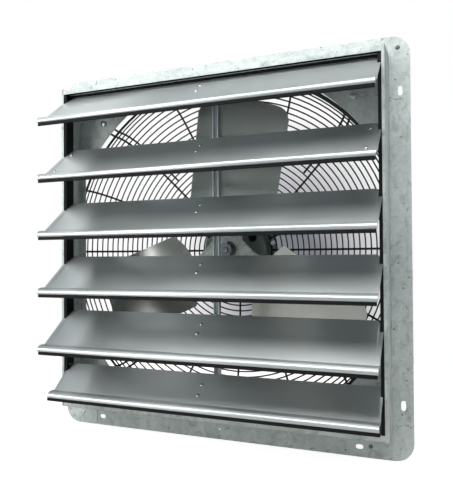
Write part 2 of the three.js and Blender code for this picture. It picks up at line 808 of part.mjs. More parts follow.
// Shaft and rotor
add('motor_shaft', barY(0, 0, shaftRadius, shaftFront, motorBack - bellSheet - seat, 20), steel);
const statorFront = (motorFront + motorBack - statorLength) / 2;
const statorBack = statorFront + statorLength;
add('rotor', ring(shaftRadius + seat, rotorRadius, statorFront, statorBack, 24), steel);

// Motor casing
function endBell() {
  const outer = motorRadius;
  const inner = outer - bellSheet;
  const bore = shaftRadius + seat;
  const pocket = bearingRadius + seat;
  const pocketEnd = bellSheet + bearingLength + seat;
  return [
    [bore, 0], [outer - bellCorner, 0], [outer, bellCorner], [outer, bellDepth],
    [inner, bellDepth], [inner, bellCorner + bellSheet / 2], [outer - bellCorner - bellSheet, bellSheet],
    [pocket + bearingWall, bellSheet], [pocket + bearingWall, pocketEnd], [pocket, pocketEnd],
    [pocket, bellSheet], [bore, bellSheet],
  ];
}

function grommetHole() {
  return solid(barY(leadExit.x, leadExit.y, grommetRadius + seat, motorFront - overrun, motorFront + bellDepth));
}

const frontBell = endBell().map(([r, y]) => [r, motorFront + y]);
const rearBell = endBell().map(([r, y]) => [r, motorBack - y]).reverse();
add('front_end_bell', shapeOf(solid(turned(frontBell)).subtract(grommetHole())), motorPaint);
add('motor_shell', ring(motorRadius - shellSheet, motorRadius, shellFront, shellBack), motorPaint);
add('rear_end_bell', turned(rearBell), motorPaint);
add('stator', ring(rotorRadius + airGap, statorRadius, statorFront, statorBack), copper);

const bearingInset = bellSheet + seat;
function bearing(front) {
  return ring(shaftRadius + seat, bearingRadius, front, front + bearingLength, 20);
}
add('front_bearing', bearing(motorFront + bearingInset), steel);
add('rear_bearing', bearing(motorBack - bearingInset - bearingLength), steel);

// Capacitor low on the side of the motor
const capacitorDistance = motorRadius + seat + capacitorRadius;
const capacitorX = capacitorDistance * Math.cos(capacitorAngle);
const capacitorZ = capacitorDistance * Math.sin(capacitorAngle);
const capacitorFront = mountBack + seat;
const capacitorBack = capacitorFront + capacitorLength;
add('capacitor', barY(capacitorX, capacitorZ, capacitorRadius, capacitorFront, capacitorBack, 20), blackEnamel);

// Wire guard
class GuardLine extends THREE.Curve {
  constructor(angle, lift, sideways = 0) {
    super();
    Object.assign(this, { angle, lift, sideways });
  }

  getPoint(t, target = new THREE.Vector3()) {
    const reach = guardRadius + this.lift;
    const rise = guardRise + this.lift;
    const startTurn = Math.asin((guardHubRadius / reach) ** (guardPower / 2));
    const turn = THREE.MathUtils.lerp(startTurn, Math.PI / 2, t);
    const radius = reach * Math.sin(turn) ** (2 / guardPower);
    const y = guardRimY + rise * Math.max(Math.cos(turn), 0) ** (2 / guardPower);
    const across = new THREE.Vector2(Math.cos(this.angle), Math.sin(this.angle));
    target.set(
      radius * across.x - this.sideways * across.y, y, radius * across.y + this.sideways * across.x,
    );
    return target;
  }
}

function wire(path, radius, steps) {
  const corners = [0, 1, 2].map((i) => [
    radius * Math.cos((2 * Math.PI * i) / 3), radius * Math.sin((2 * Math.PI * i) / 3),
  ]);
  return new THREE.ExtrudeGeometry(outline(corners), { steps, extrudePath: path, bevelEnabled: false });
}

function hoop(radius, y, wireRadius) {
  const geometry = new THREE.TorusGeometry(radius, wireRadius, 3, 2 * guardSpokeCount);
  geometry.rotateX(Math.PI / 2);
  geometry.translate(0, y, 0);
  return geometry;
}

// Hairpin spoke: two legs over the dome and down to the panel, joined by a bend round the bolt
function hairpin(angle, longSide) {
  const place = (radius, sideways) => new THREE.Vector3(
    radius * Math.cos(angle) - sideways * Math.sin(angle),
    hairpinY,
    radius * Math.sin(angle) + sideways * Math.cos(angle),
  );
  const half = hairpinHalfWidth;
  const start = (guardRadius + guardBoltDistance) / 2;
  const legs = [-half, half].map((sideways) => {
    const first = sideways * longSide > 0 ? 0 : shortLegStart;
    const dome = new GuardLine(angle, spokeLift, sideways).getSpacedPoints(hairpinSteps).slice(first);
    const points = [...dome, place(start, sideways)];
    return wire(new THREE.CatmullRomCurve3(points, false, 'catmullrom', 0.2), spokeWire, 9);
  });
  const arc = [-2, -1, 0, 1, 2].map((step) => {
    const turn = (step * Math.PI) / 4;
    return place(guardBoltDistance + half * Math.cos(turn), half * Math.sin(turn));
  });
  const tail = start - spokeWire;
  const bend = new THREE.CatmullRomCurve3([place(tail, -half), ...arc, place(tail, half)]);
  return [...legs, wire(bend, spokeWire, 9)];
}

function wireGuard() {
  const pieces = [hoop(guardRadius, guardRimY, rimWire), hoop(guardHubRadius, guardHubY, rimWire)];
  const profile = new GuardLine(0, 0);
  for (let i = 1; i <= guardRingCount; i += 1) {
    const point = profile.getPointAt(i / (guardRingCount + 1));
    pieces.push(hoop(point.x, point.y, ringWire));
  }
  for (let i = 0; i < guardSpokeCount; i += 1) {
    const angle = (2 * Math.PI * i) / guardSpokeCount;
    const diagonal = i % 4 === 2;
    if (!diagonal) pieces.push(wire(new GuardLine(angle, spokeLift), spokeWire, 7));
  }
  const slant = guardBoltSlant;
  for (const [angle, longSide] of [
    [slant, -1], [Math.PI - slant, 1], [Math.PI + slant, -1], [-slant, 1],
  ]) pieces.push(...hairpin(angle, longSide));
  return shapeOf(join(pieces));
}

add('wire_guard', wireGuard(), blackEnamel);

// Guard bolts: head in front of the panel, washer and nut over the hairpin
function guardBolt(x, z) {
  const wireBack = hairpinY + spokeWire + seat;
  const nutBack = wireBack + washerSheet + boltNutHeight;
  const headBack = panelFront - seat;
  return shapeOf(join([
    barY(x, z, boltHeadRadius, headBack - boltHeadHeight, headBack, 6),
    barY(x, z, guardBoltRadius, headBack - overrun, nutBack + guardBoltRadius, 10),
    barY(x, z, washerRadius, wireBack, wireBack + washerSheet, 14),
    barY(x, z, boltHeadRadius, wireBack + washerSheet / 2, nutBack, 6),
  ]));
}

[[1, 1], [-1, 1], [-1, -1], [1, -1]].forEach(([sideX, sideZ], i) => {
  add(`guard_bolt_${i + 1}`, guardBolt(sideX * guardBoltX, sideZ * guardBoltZ), zinc);
});

// Motor mount
function motorMount() {
  const right = junctionLeft + junctionWidth;
  const top = junctionBottom + junctionHeight;
  const tab = block(junctionLeft, mountFront, junctionBottom, right, mountBack, top);
  let body = solid(barY(0, 0, mountOuterRadius, mountFront, mountBack, 24)).add(solid(tab));
  const cutFront = mountFront - overrun;
  const cutBack = mountBack + overrun;
  body = body.subtract(solid(barY(0, 0, motorRadius + 2 * seat, cutFront, cutBack, 24)));
  body = body.subtract(solid(barY(leadEntry.x, leadEntry.y, bushingRadius + seat, cutFront, cutBack)));
  for (const [x, z] of mountBolts()) {
    body = body.subtract(solid(barY(x, z, mountBoltRadius + seat, cutFront, cutBack, 8)));
  }
  return shapeOf(body);
}

function mountBolts() {
  const places = [];
  for (let i = 0; i < mountBoltCount; i += 1) {
    const angle = (2 * Math.PI * (i + 1 / 8)) / mountBoltCount;
    places.push([mountBoltCircle * Math.cos(angle), mountBoltCircle * Math.sin(angle)]);
  }
  return places;
}

add('motor_mount', motorMount(), galvanised);

// Mount bolts clamp the guard's hub ring against the plate
mountBolts().forEach(([x, z], i) => {
  const ringFront = guardHubY - rimWire - seat;
  const nutFront = mountBack + seat;
  const bolt = join([
    barY(x, z, mountWasherRadius, ringFront - mountHeadHeight, ringFront, 6),
    barY(x, z, mountBoltRadius, ringFront - overrun, nutFront + mountNutHeight + mountBoltEnd, 8),
    barY(x, z, mountNutRadius, nutFront, nutFront + mountNutHeight, 6),
  ]);
  add(`mount_bolt_${i + 1}`, shapeOf(bolt), zinc);
});

// Junction box on the tab, open towards the room, and its lid
const boxFront = mountBack + seat;
const boxBack = boxFront + junctionDepth;
function junctionShell() {
  const halfWidth = junctionWidth / 2;
  const halfHeight = junctionHeight / 2;
  const { x, y: z } = junctionCentre;
  const wall = junctionWall;
  const outer = solid(block(x - halfWidth, boxFront, z - halfHeight, x + halfWidth, boxBack, z + halfHeight));
  const inner = solid(block(
    x - halfWidth + wall, boxFront + wall, z - halfHeight + wall,
    x + halfWidth - wall, boxBack + overrun, z + halfHeight - wall,
  ));
  const entry = solid(barY(leadEntry.x, leadEntry.y, bushingRadius + seat, boxFront - overrun, boxFront + 2 * wall));
  return shapeOf(outer.subtract(inner).subtract(entry));
}

add('junction_box', junctionShell(), galvanised);
const lidHalfWidth = junctionWidth / 2;
const lidHalfHeight = junctionHeight / 2;
add(
  'junction_box_lid',
  block(
    junctionCentre.x - lidHalfWidth, boxBack + seat, junctionCentre.y - lidHalfHeight,
    junctionCentre.x + lidHalfWidth, boxBack + seat + junctionWall, junctionCentre.y + lidHalfHeight,
  ),
  galvanised,
);

// Lead: out of the front bell through a grommet, back through the guard and into the junction box
function placedRing(profile, x, z, segments) {
  const geometry = turned(profile, segments);
  geometry.translate(x, 0, z);
  return geometry;
}

const leadBore = leadRadius + seat;
const grommetFront = motorFront - seat - grommetLip;
const grommetBack = motorFront + bellSheet;
add(
  'lead_grommet',
  placedRing([
    [leadBore, grommetFront], [grommetRadius + grommetLip, grommetFront],
    [grommetRadius + grommetLip, motorFront - seat], [grommetRadius, motorFront - seat],
    [grommetRadius, grommetBack], [leadBore, grommetBack],
  ], leadExit.x, leadExit.y, 14),
  blackRubber,
);

const bushingFront = mountFront - seat - grommetLip;
const bushingBack = boxFront + junctionWall + grommetLip;
add(
  'lead_bushing',
  placedRing([
    [leadBore, bushingFront], [bushingFlangeRadius, bushingFront],
    [bushingFlangeRadius, mountFront - seat], [bushingRadius, mountFront - seat],
    [bushingRadius, bushingBack], [leadBore, bushingBack],
  ], leadEntry.x, leadEntry.y, 14),
  blackRubber,
);

// Route of the lead, chosen by hand: how far from exit to entry, and depth behind the motor's front
const leadShares = [0, 0, 0.065, 0.26, 0.5, 0.74, 0.914, 0.99, 1, 1];
const leadDepths = [7, -3, -10, -13, -11.5, -6, 3, 14, 24, 44];
const leadRoute = leadShares.map((share, i) => {
  const place = leadExit.clone().lerp(leadEntry, share);
  return new THREE.Vector3(place.x, motorFront + leadDepths[i], place.y);
});
const leadPath = new THREE.CatmullRomCurve3(leadRoute);
const leadSection = circle(0, 0, leadRadius, 8);
add(
  'motor_lead',
  new THREE.ExtrudeGeometry(leadSection, { steps: 26, extrudePath: leadPath, bevelEnabled: false }),
  blackRubber,
);

export default fan;
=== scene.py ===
import math
from functools import partial
from itertools import pairwise

import bmesh
import bpy
from bpy.props import FloatProperty, FloatVectorProperty, IntProperty, PointerProperty
from mathutils import Matrix, Vector


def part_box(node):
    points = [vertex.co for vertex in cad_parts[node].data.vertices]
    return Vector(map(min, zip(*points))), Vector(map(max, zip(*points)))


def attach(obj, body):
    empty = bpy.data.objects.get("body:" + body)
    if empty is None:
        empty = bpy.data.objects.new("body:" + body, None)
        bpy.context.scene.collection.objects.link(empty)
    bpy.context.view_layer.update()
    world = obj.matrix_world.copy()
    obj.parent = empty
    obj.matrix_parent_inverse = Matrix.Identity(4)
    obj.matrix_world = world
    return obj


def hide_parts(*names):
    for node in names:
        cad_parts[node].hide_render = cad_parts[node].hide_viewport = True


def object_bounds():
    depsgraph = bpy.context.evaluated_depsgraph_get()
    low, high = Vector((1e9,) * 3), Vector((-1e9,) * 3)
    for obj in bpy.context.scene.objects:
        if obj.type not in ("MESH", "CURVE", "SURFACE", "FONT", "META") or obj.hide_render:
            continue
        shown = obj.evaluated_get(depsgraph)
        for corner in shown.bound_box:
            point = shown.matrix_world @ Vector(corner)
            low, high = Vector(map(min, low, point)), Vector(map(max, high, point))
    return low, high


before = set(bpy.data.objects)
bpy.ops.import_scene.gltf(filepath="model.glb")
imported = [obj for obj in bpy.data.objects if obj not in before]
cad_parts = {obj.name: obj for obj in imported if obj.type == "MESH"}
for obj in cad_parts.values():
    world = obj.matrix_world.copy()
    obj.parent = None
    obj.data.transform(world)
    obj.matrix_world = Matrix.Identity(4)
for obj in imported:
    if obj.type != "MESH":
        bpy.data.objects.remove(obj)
CAD_BOX = [list(corner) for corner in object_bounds()]

bl_info = {
    "name": "Shutter exhaust fan",
    "version": (1, 0, 0),
    "blender": (4, 5, 0),
    "location": "View3D > Sidebar > Shutter fan",
    "description": "Dresses the CAD frame of a louvred wall exhaust fan",
    "category": "Add Mesh",
}

MM = 0.001
TURN = 2 * math.pi


# Settings

def linear(hex_code):
    """Linear colour of an sRGB hex value."""
    parts = [int(hex_code[i:i + 2], 16) / 255 for i in (1, 3, 5)]
    return tuple(c / 12.92 if c <= 0.04045 else ((c + 0.055) / 1.055) ** 2.4 for c in parts)


def length(name, description, millimetres):
    return FloatProperty(
        name=name, description=description, default=millimetres * MM, unit="LENGTH", precision=4)


def power(name, description, watts):
    return FloatProperty(name=name, description=description, default=watts, unit="POWER")


def angle(name, description, degrees):
    return FloatProperty(name=name, description=description, default=math.radians(degrees), subtype="ANGLE")


def count(name, description, number):
    return IntProperty(name=name, description=description, default=number, min=1)


def colour(name, description, hex_code):
    return FloatVectorProperty(
        name=name, description=description, default=linear(hex_code), subtype="COLOR", size=3, min=0, max=1)


class BoxSizes(bpy.types.PropertyGroup):
    """Wall box, flange and orifice panel."""
    half_width: length("Half width", "Outside of the side walls, from the fan's axis", 325)
    top: length("Top", "Outside of the top wall, above the axis", 335)
    bottom: length("Bottom", "Outside of the bottom wall, below the axis", 319)
    depth: length("Depth", "Front of the box, forward of the flange", 63.5)
    sheet: length("Sheet", "Thickness of the bent steel", 1.2)
    bend: length("Bend", "Radius of the bends, at the middle of the sheet", 1.6)
    end_lip: length("End lip", "Height of the lips of the top and bottom channels", 11)
    side_lip: length("Side lip", "Width of the lips of the side channels", 6)
    flange_half_width: length("Flange half width", "Flange's side edge, from the axis", 360.5)
    flange_half_height: length("Flange half height", "Flange's upper edge, from the axis", 369)
    flange_corner: length("Flange corner", "Radius of the flange's corners", 33)
    seam: length("Seam", "Left flange's corner ears reach in to here", 282)
    hem_width: length("Hem width", "Folded hem on the side flanges", 8)
    hem_sheet: length("Hem thickness", "How far the hem stands forward", 0.9)
    slot_inset: length("Slot inset", "Side slots and holes, from the flange's edge", 17)
    slot_height: length("Slot height", "Side slots, above and below the axis", 272.5)
    hole_height: length("Hole height", "Side holes, above and below the axis", 190)
    end_slot_inset: length("End slot inset", "End slots and holes, from the flange's edge", 18)
    end_slot_x: length("End slot place", "End slots, left and right of the axis", 268)
    end_hole_x: length("End hole place", "End holes, left and right of the axis", 185.5)
    panel_sheet: length("Panel sheet", "Thickness of the orifice panel", 1)
    orifice_radius: length("Orifice radius", "Round edge of the opening", 352.5)
    orifice_half_width: length("Orifice half width", "Straight sides of the opening", 313)
    bead: length("Bead", "Radius of the rolled edge of the opening", 1.3)


class LouvreSizes(bpy.types.PropertyGroup):
    """Six louvres and the link between them."""
    number: count("Louvres", "How many louvres", 6)
    pitch: length("Pitch", "From one louvre to the next", 110.46)
    top: length("Top", "Top edge of the first louvre, above the axis", 319.9)
    inset: length("Inset", "Top edges, forward of the flange", 46.2)
    half_length: length("Half length", "From the middle to a louvre's end", 318.5)
    sheet: length("Sheet", "Thickness of the plate", 1)
    slope: angle("Slope", "Slope of the plates", 38)
    plate: length("Plate", "Width of a plate down its slope", 99.3)
    last_slope: angle("Last slope", "Slope of the last plate", 40.2)
    last_plate: length("Last plate", "Width of the last plate", 69.2)
    last_short: length("Last end", "How much shorter the last plate is at each end", 2.7)
    last_cut: length("Last corner", "Width and length cut from the last plate's upper corners", 0.3)
    lip: length("Lip", "Forward lip below the plate", 19.5)
    lip_drop: length("Lip drop", "How far the lip falls", 3)
    nose: length("Nose", "Thickness of the nose that holds the seal", 4.6)
    nose_height: length("Nose height", "Height of the nose", 8)
    bulge: length("Bulge", "How far the nose is rounded forward", 1.4)
    corner: length("Corner", "Radius of a plate's upper corners", 8)
    notch: length("Notch", "Width cut from a plate's upper corners", 6.5)
    notch_length: length("Notch length", "How far down the slope the cut reaches", 26)
    seal: length("Seal", "Height of the rubber edge seal", 6)
    seal_sheet: length("Seal thickness", "Thickness of the seal", 3)
    pivot_out: length("Pivot out", "Pivot, forward of the top edge", 8)
    pivot_down: length("Pivot down", "Pivot, below the top edge", 21)
    pin: length("Pin", "Radius of the pivot pins", 2.9)
    pin_reach: length("Pin reach", "Pivot pins stand out from the ears", 10)
    rivet: length("Rivet", "Radius of a rivet's head", 3.6)
    rivet_x: length("Rivet place", "Link rivets, left of the axis", 7)
    link_out: length("Link pin out", "Link pins, forward of the flange", 16)
    link_down: length("Link pin down", "Link pins, below the top edges", 27)


class FanSizes(bpy.types.PropertyGroup):
    """Blades, spider and hub."""
    blades: count("Blades", "How many blades", 3)
    tip: length("Tip radius", "Radius of the blade circle", 307)
    sheet: length("Blade sheet", "Thickness of a blade", 1.5)
    front: length("Leading edge", "Behind the flange", 22)
    back: length("Trailing edge", "Behind the flange", 78)
    camber: length("Camber", "Depth of the blade's hollow", 7)
    spider: length("Spider", "Front of the spider's disc, behind the flange", 52)
    spider_sheet: length("Spider sheet", "Thickness of the spider", 2)
    lip: length("Spider lip", "Turned edge of the spider's arms", 4.5)
    hub: length("Hub", "Radius of the hub's boss", 14)


class GuardSizes(bpy.types.PropertyGroup):
    """Domed wire guard."""
    radius: length("Rim radius", "Radius of the rim ring", 350)
    rim: length("Rim place", "Rim ring, behind the flange", 20)
    rise: length("Rise", "Depth of the dome", 100)
    hub: length("Hub ring", "Radius of the inner ring", 72)
    ring_pitch: length("Ring pitch", "From one ring to the next along the dome", 11.7)
    rim_wire: length("Rim wire", "Radius of the rim and hub rings' wire", 2.5)
    ring_wire: length("Ring wire", "Radius of the rings' wire", 1.5)
    spoke_wire: length("Spoke wire", "Radius of the spokes' wire", 2.2)
    lift: length("Lift", "Spokes lie this far outside the rings", 2.6)
    spokes: count("Spokes", "Places round the dome", 16)
    leg: length("Hairpin leg", "From a hairpin's middle to each leg", 6.5)
    bolt_x: length("Bolt X", "Guard bolts, left and right of the axis", 264)
    bolt_z: length("Bolt Z", "Guard bolts, above and below the axis", 272)


class MotorSizes(bpy.types.PropertyGroup):
    """Motor, its mount and the junction box."""
    radius: length("Radius", "Radius of the casing", 65)
    front: length("Front", "Front bell, behind the flange", 90)
    back: length("Back", "Rear bell, behind the flange", 190)
    bell: length("Bell", "Depth of an end bell", 8)
    shaft: length("Shaft", "Radius of the shaft", 6.35)
    mount: length("Mount", "Radius of the mount plate", 84)
    bolt_circle: length("Bolt circle", "Radius of the mount bolts' circle", 77.5)
    capacitor: length("Capacitor", "Radius of the capacitor", 17)
    lead: length("Lead", "Radius of the motor's lead", 3.2)


class FanFinishes(bpy.types.PropertyGroup):
    """Colours of the fan's finishes."""
    zinc_coat: colour("Galvanised", "Zinc coat of the sheet steel", "#d6dddb")
    zinc_mark: colour("Galvanised, rubbed", "Rubbed marks in the zinc coat", "#98a39f")
    aluminium: colour("Aluminium", "Mill finish louvres", "#d0d4d4")
    blade: colour("Blades", "Rolled sheet of the blades", "#b4b5b0")
    rubber: colour("Rubber", "Seals and strips", "#0b0c0c")
    enamel: colour("Guard", "Coating of the wire guard", "#0d0e0f")
    motor: colour("Motor", "Enamel of the motor", "#7b8c87")
    steel: colour("Steel", "Turned steel of the hub and shaft", "#8d8f92")
    zinc: colour("Zinc plate", "Plated bolts and nuts", "#c9ccca")
    copper: colour("Copper", "Enamelled windings", "#a45f36")


class StageSettings(bpy.types.PropertyGroup):
    """Floor, lamps and room."""
    paper: colour("Paper", "Floor", "#bfbfbc")
    key: power("Key", "Wide lamp above the front", 10.5)
    side: power("Side", "Lamp at the left of the front", 5)
    front: power("Front", "Fill before the fan", 6)
    back: power("Back", "Fill behind the fan", 7)
    overhead: power("Overhead", "Lamp above the left end", 2)
    ambient: FloatProperty(name="Ambient", description="Strength of the room's own light", default=0.3)
    wall: colour("Room", "Front of the room, as metal mirrors it", "#687b83")
    behind: colour("Behind", "Back of the room, as metal mirrors it", "#3f4649")
    ceiling: colour("Ceiling", "Top of the room, as metal mirrors it", "#7c8486")
    # Painted shade: colour of an oval of the room straight behind the fan, greyed for the eye where the fan's
    # shadow would fall
    shade: colour("Shade", "Room behind the fan, in the fan's own shade", "#7e8087")


class ShutterFan(bpy.types.PropertyGroup):
    """All settings of the shutter fan."""
    box: PointerProperty(type=BoxSizes)
    louvre: PointerProperty(type=LouvreSizes)
    fan: PointerProperty(type=FanSizes)
    guard: PointerProperty(type=GuardSizes)
    motor: PointerProperty(type=MotorSizes)
    finish: PointerProperty(type=FanFinishes)
    stage: PointerProperty(type=StageSettings)


# Finishes

def add_node(tree, kind, inputs=(), **settings):
    """Adds a node; its inputs, in order or by name, are values, sockets or nodes for their first output."""
    node = tree.nodes.new(kind)
    for name, value in settings.items():
        setattr(node, name, value)
    for name, value in inputs.items() if isinstance(inputs, dict) else enumerate(inputs):
        if isinstance(value, bpy.types.Node):
            value = value.outputs[0]
        if isinstance(value, bpy.types.NodeSocket):
            tree.links.new(value, node.inputs[name])
        else:
            node.inputs[name].default_value = value
    return node


def opaque(rgb):
    return (*rgb, 1)


def start_finish(name, **constants):
    """New material and its tree, with the shader's constants set on its own sockets."""
    material = bpy.data.materials.new(name)
    material.use_nodes = True
    shader = material.node_tree.nodes["Principled BSDF"]
    for socket, value in constants.items():
        shader.inputs[socket.replace("_", " ").title().replace("Ior", "IOR")].default_value = value
    return material, material.node_tree


def real_noise(tree, sizes, detail=2, rough=0.5, distortion=0):
    """Noise on the piece's own place, whose grains have a real size in millimetres."""
    place = add_node(tree, "ShaderNodeTexCoord").outputs["Object"]
    scale = [1 / (size * MM) for size in sizes]
    scaled = add_node(tree, "ShaderNodeMapping", {"Vector": place, "Scale": scale})
    return add_node(tree, "ShaderNodeTexNoise", {
        "Vector": scaled, "Scale": 1, "Detail": detail, "Roughness": rough, "Distortion": distortion})


def end_finish(tree, base, roughness, height, depth):
    """Links the colour, the roughness and a bump of a real depth in millimetres to the shader."""
    bump = add_node(tree, "ShaderNodeBump", {"Height": height, "Distance": depth * MM, "Strength": 1})
    for socket, node in (("Base Color", base), ("Roughness", roughness), ("Normal", bump)):
        tree.links.new(node.outputs[0], tree.nodes["Principled BSDF"].inputs[socket])


def galvanised_sheet(colours):
    """Hot dip galvanised steel: pale crystals a few millimetres wide, dull patches, specks and rub marks."""
    material, tree = start_finish("galvanised_sheet", metallic=0.4)
    add = partial(add_node, tree)
    place = add("ShaderNodeTexCoord").outputs["Object"]
    crystal = add("ShaderNodeTexVoronoi", {"Vector": place, "Scale": 1 / (6 * MM)})
    shade = add("ShaderNodeSeparateColor", (crystal.outputs["Color"],))
    pale = add("ShaderNodeMapRange", (shade, 0, 1, 0, 0.2))
    cloud = add("ShaderNodeMapRange", (real_noise(tree, (60, 60, 90), 4), 0.35, 0.65, 0, 0.3))
    uneven = add("ShaderNodeMath", (pale, cloud), operation="ADD")
    coat = add("ShaderNodeMixRGB", (uneven, opaque(colours.zinc_coat), opaque(colours.zinc_mark)))
    patch = add("ShaderNodeMapRange", (real_noise(tree, (15, 15, 22), 3, 0.55, 0.8), 0.54, 0.68, 0, 0.35))
    coat = add("ShaderNodeMixRGB", (patch, coat, opaque(linear("#79837f"))))
    spot = add("ShaderNodeTexVoronoi", {"Vector": place, "Scale": 1 / (15 * MM)})
    pick = add("ShaderNodeSeparateColor", (spot.outputs["Color"],)).outputs["Green"]
    near = add("ShaderNodeMapRange", (spot.outputs["Distance"], 0.08, 0.14, 1, 0))
    some = add("ShaderNodeMapRange", (pick, 0.7, 0.95, 0, 0.7))
    speck = add("ShaderNodeMath", (near, some), operation="MULTIPLY")
    away = add("ShaderNodeMath", (real_noise(tree, (30, 30, 18), 2, 0.5, 1.2), 0.5), operation="SUBTRACT")
    away = add("ShaderNodeMath", (away,), operation="ABSOLUTE")
    line = add("ShaderNodeMapRange", (away, 0.006, 0.014, 1, 0))
    part = add("ShaderNodeMapRange", (real_noise(tree, (17, 17, 12), 1), 0.57, 0.62, 0, 0.5))
    mark = add("ShaderNodeMath", (line, part), operation="MULTIPLY")
    dark = add("ShaderNodeMath", (speck, mark), operation="MAXIMUM")
    base = add("ShaderNodeMixRGB", (dark, coat, opaque(linear("#3a4341"))))
    rough = add("ShaderNodeMapRange", (shade, 0, 1, 0.5, 0.62))
    end_finish(tree, base, rough, real_noise(tree, (14, 14, 14), 3), 0.12)
    return material


def clouded(name, colours, cloud, share, roughness, depth, fine=None, fine_share=0, raised="fine", **shader):
    """
    Finish whose clouds blend two colours, up to a share, and roughen it.
    A finer grain can add its own share, and the grain or the clouds are raised by a depth in millimetres.
    """
    material, tree = start_finish(name, **shader)
    add = partial(add_node, tree)
    clouds = real_noise(tree, *cloud)
    grain = real_noise(tree, *fine) if fine else clouds
    blend = add("ShaderNodeMapRange", (clouds, 0.3, 0.7, 0, share))
    if fine_share:
        more = add("ShaderNodeMapRange", (grain, 0.3, 0.7, 0, fine_share))
        blend = add("ShaderNodeMath", (more, blend), operation="ADD")
    base = add("ShaderNodeMixRGB", (blend, opaque(colours[0]), opaque(linear(colours[1]))))
    rough = add("ShaderNodeMapRange", (clouds, 0.3, 0.7, *roughness))
    end_finish(tree, base, rough, grain if raised == "fine" else clouds, depth)
    return material


def mill_aluminium(colours):
    """Mill finish aluminium rolled along the louvre: sharp along it, light smeared up and down its slope."""
    material = clouded(
        "mill_aluminium", (colours.aluminium, "#9ea3a4"), ((160, 60, 60), 2), 0.1, (0.31, 0.36), 0.003,
        fine=((500, 1.6, 1.6), 2), fine_share=0.08, metallic=1, anisotropic=0.8, anisotropic_rotation=0.25)
    tree = material.node_tree
    along = add_node(tree, "ShaderNodeCombineXYZ", {"X": 1})
    tree.links.new(along.outputs["Vector"], tree.nodes["Principled BSDF"].inputs["Tangent"])
    return material


def rolled_blade_sheet(colours):
    """Bright rolled sheet: wide curved reflections with faint roller marks along the blade."""
    return clouded(
        "rolled_blade_sheet", (colours.blade, "#8a8b86"), ((90, 90, 90), 2), 0.15, (0.18, 0.28), 0.35,
        fine=((3, 80, 240), 3), fine_share=0.08, raised="clouds", metallic=1)


def moulded_rubber(colours):
    """EPDM rubber: matt black with a fine closed grain."""
    return clouded(
        "moulded_rubber", (colours.rubber, "#151717"), ((1.5, 1.5, 1.5), 3), 0.4, (0.6, 0.8), 0.08,
        metallic=0, ior=1.52, specular_ior_level=0.25)


def dipped_enamel(colours):
    """Black coating dipped over steel wire: a satin skin, a little uneven where it ran."""
    return clouded(
        "dipped_enamel", (colours.enamel, "#1a1c1d"), ((9, 9, 9), 3), 0.5, (0.35, 0.5), 0.1,
        metallic=0, ior=1.5)


def baked_motor_enamel(colours):
    """Grey green enamel baked on pressed steel: satin, with a slight orange peel."""
    return clouded(
        "baked_motor_enamel", (colours.motor, "#8b9a95"), ((40, 40, 40), 3), 0.5, (0.35, 0.5), 0.05,
        fine=((2, 2, 2), 2), metallic=0.1, ior=1.5)


def turned_steel(colours):
    """Turned steel: dull grey with close tool marks round the axis."""
    return clouded(
        "turned_steel", (colours.steel, "#5d5f63"), ((30, 0.8, 30), 3), 1, (0.3, 0.45), 0.02, metallic=1)


def plated_zinc(colours):
    """Bright zinc plating on fasteners: small sharp highlights on a cloudy skin."""
    return clouded(
        "plated_zinc", (colours.zinc, "#b4b9ba"), ((3, 3, 3), 3), 0.6, (0.2, 0.34), 0.02, metallic=1)


def wound_copper(colours):
    """Enamelled copper wire wound in layers: fine warm ribs about a millimetre apart."""
    return clouded(
        "wound_copper", (colours.copper, "#5c3320"), ((40, 1, 40), 2), 1, (0.3, 0.5), 0.2, metallic=0.8)


FINISHES = {
    "galvanised_steel": galvanised_sheet,
    "louvre_aluminium": mill_aluminium,
    "blade_metal": rolled_blade_sheet,
    "black_rubber": moulded_rubber,
    "black_enamel": dipped_enamel,
    "motor_enamel": baked_motor_enamel,
    "steel": turned_steel,
    "zinc_plate": plated_zinc,
    "winding_copper": wound_copper,
}


def finish(slot):
    """Material of a slot of the record, made when it is first asked for."""
    make = FINISHES[slot]
    return bpy.data.materials.get(make.__name__) or make(bpy.context.scene.shutter_fan.finish)


# Outlines

def rounded(corners, radii, closed=True, steps=5):
    """Points of a line whose corners are rounded by their radii."""
    corners = [Vector(corner) for corner in corners]
    last = len(corners) - 1
    points = []
    for i, (corner, radius) in enumerate(zip(corners, radii)):
        if radius == 0 or (not closed and i in (0, last)):
            points.append(corner)
            continue
        before = (corners[i - 1] - corner).normalized()
        after = (corners[0 if i == last else i + 1] - corner).normalized()
        half = before.angle(after) / 2
        centre = corner + (before + after).normalized() * (radius / math.sin(half))
        start = corner + before * (radius / math.tan(half)) - centre
        sweep = start.angle_signed(corner + after * (radius / math.tan(half)) - centre)
        for step in range(steps + 1):
            turned = start.copy()
            turned.rotate(Matrix.Rotation(-sweep * step / steps, 2))
            points.append(centre + turned)
    return points


def sheet_outline(path, thickness):
    """Closed outline of a sheet that follows a path."""
    left, right = [], []
    for i, point in enumerate(path):
        ahead = path[min(i + 1, len(path) - 1)] - path[max(i - 1, 0)]
        side = Vector((-ahead.y, ahead.x)).normalized() * (thickness / 2)
        left.append(point + side)
        right.append(point - side)
    return left + right[::-1]


def circle(x, y, radius, steps=20):
    turns = [TURN * i / steps for i in range(steps)]
    return [(x + radius * math.cos(turn), y + radius * math.sin(turn)) for turn in turns]


def slot(x, y, reach, width, upright):
    """Slot with round ends, reach long."""
    half = (reach - width) / 2
    start = 0 if upright else -math.pi / 2
    points = []
    for i in range(18):
        end = 1 if i < 9 else -1
        turn = start + math.pi * ((i % 9) / 8 + (0 if i < 9 else 1))
        shift = Vector((0, half * end)) if upright else Vector((half * end, 0))
        points.append(Vector((x, y)) + shift + Vector((math.cos(turn), math.sin(turn))) * (width / 2))
    return points


def rectangle(left, bottom, right, top, radius):
    corners = [(left, bottom), (right, bottom), (right, top), (left, top)]
    return rounded(corners, [radius] * 4, steps=4)


# Solids

def on_x(a, b, station):
    return Vector((station, a, b))


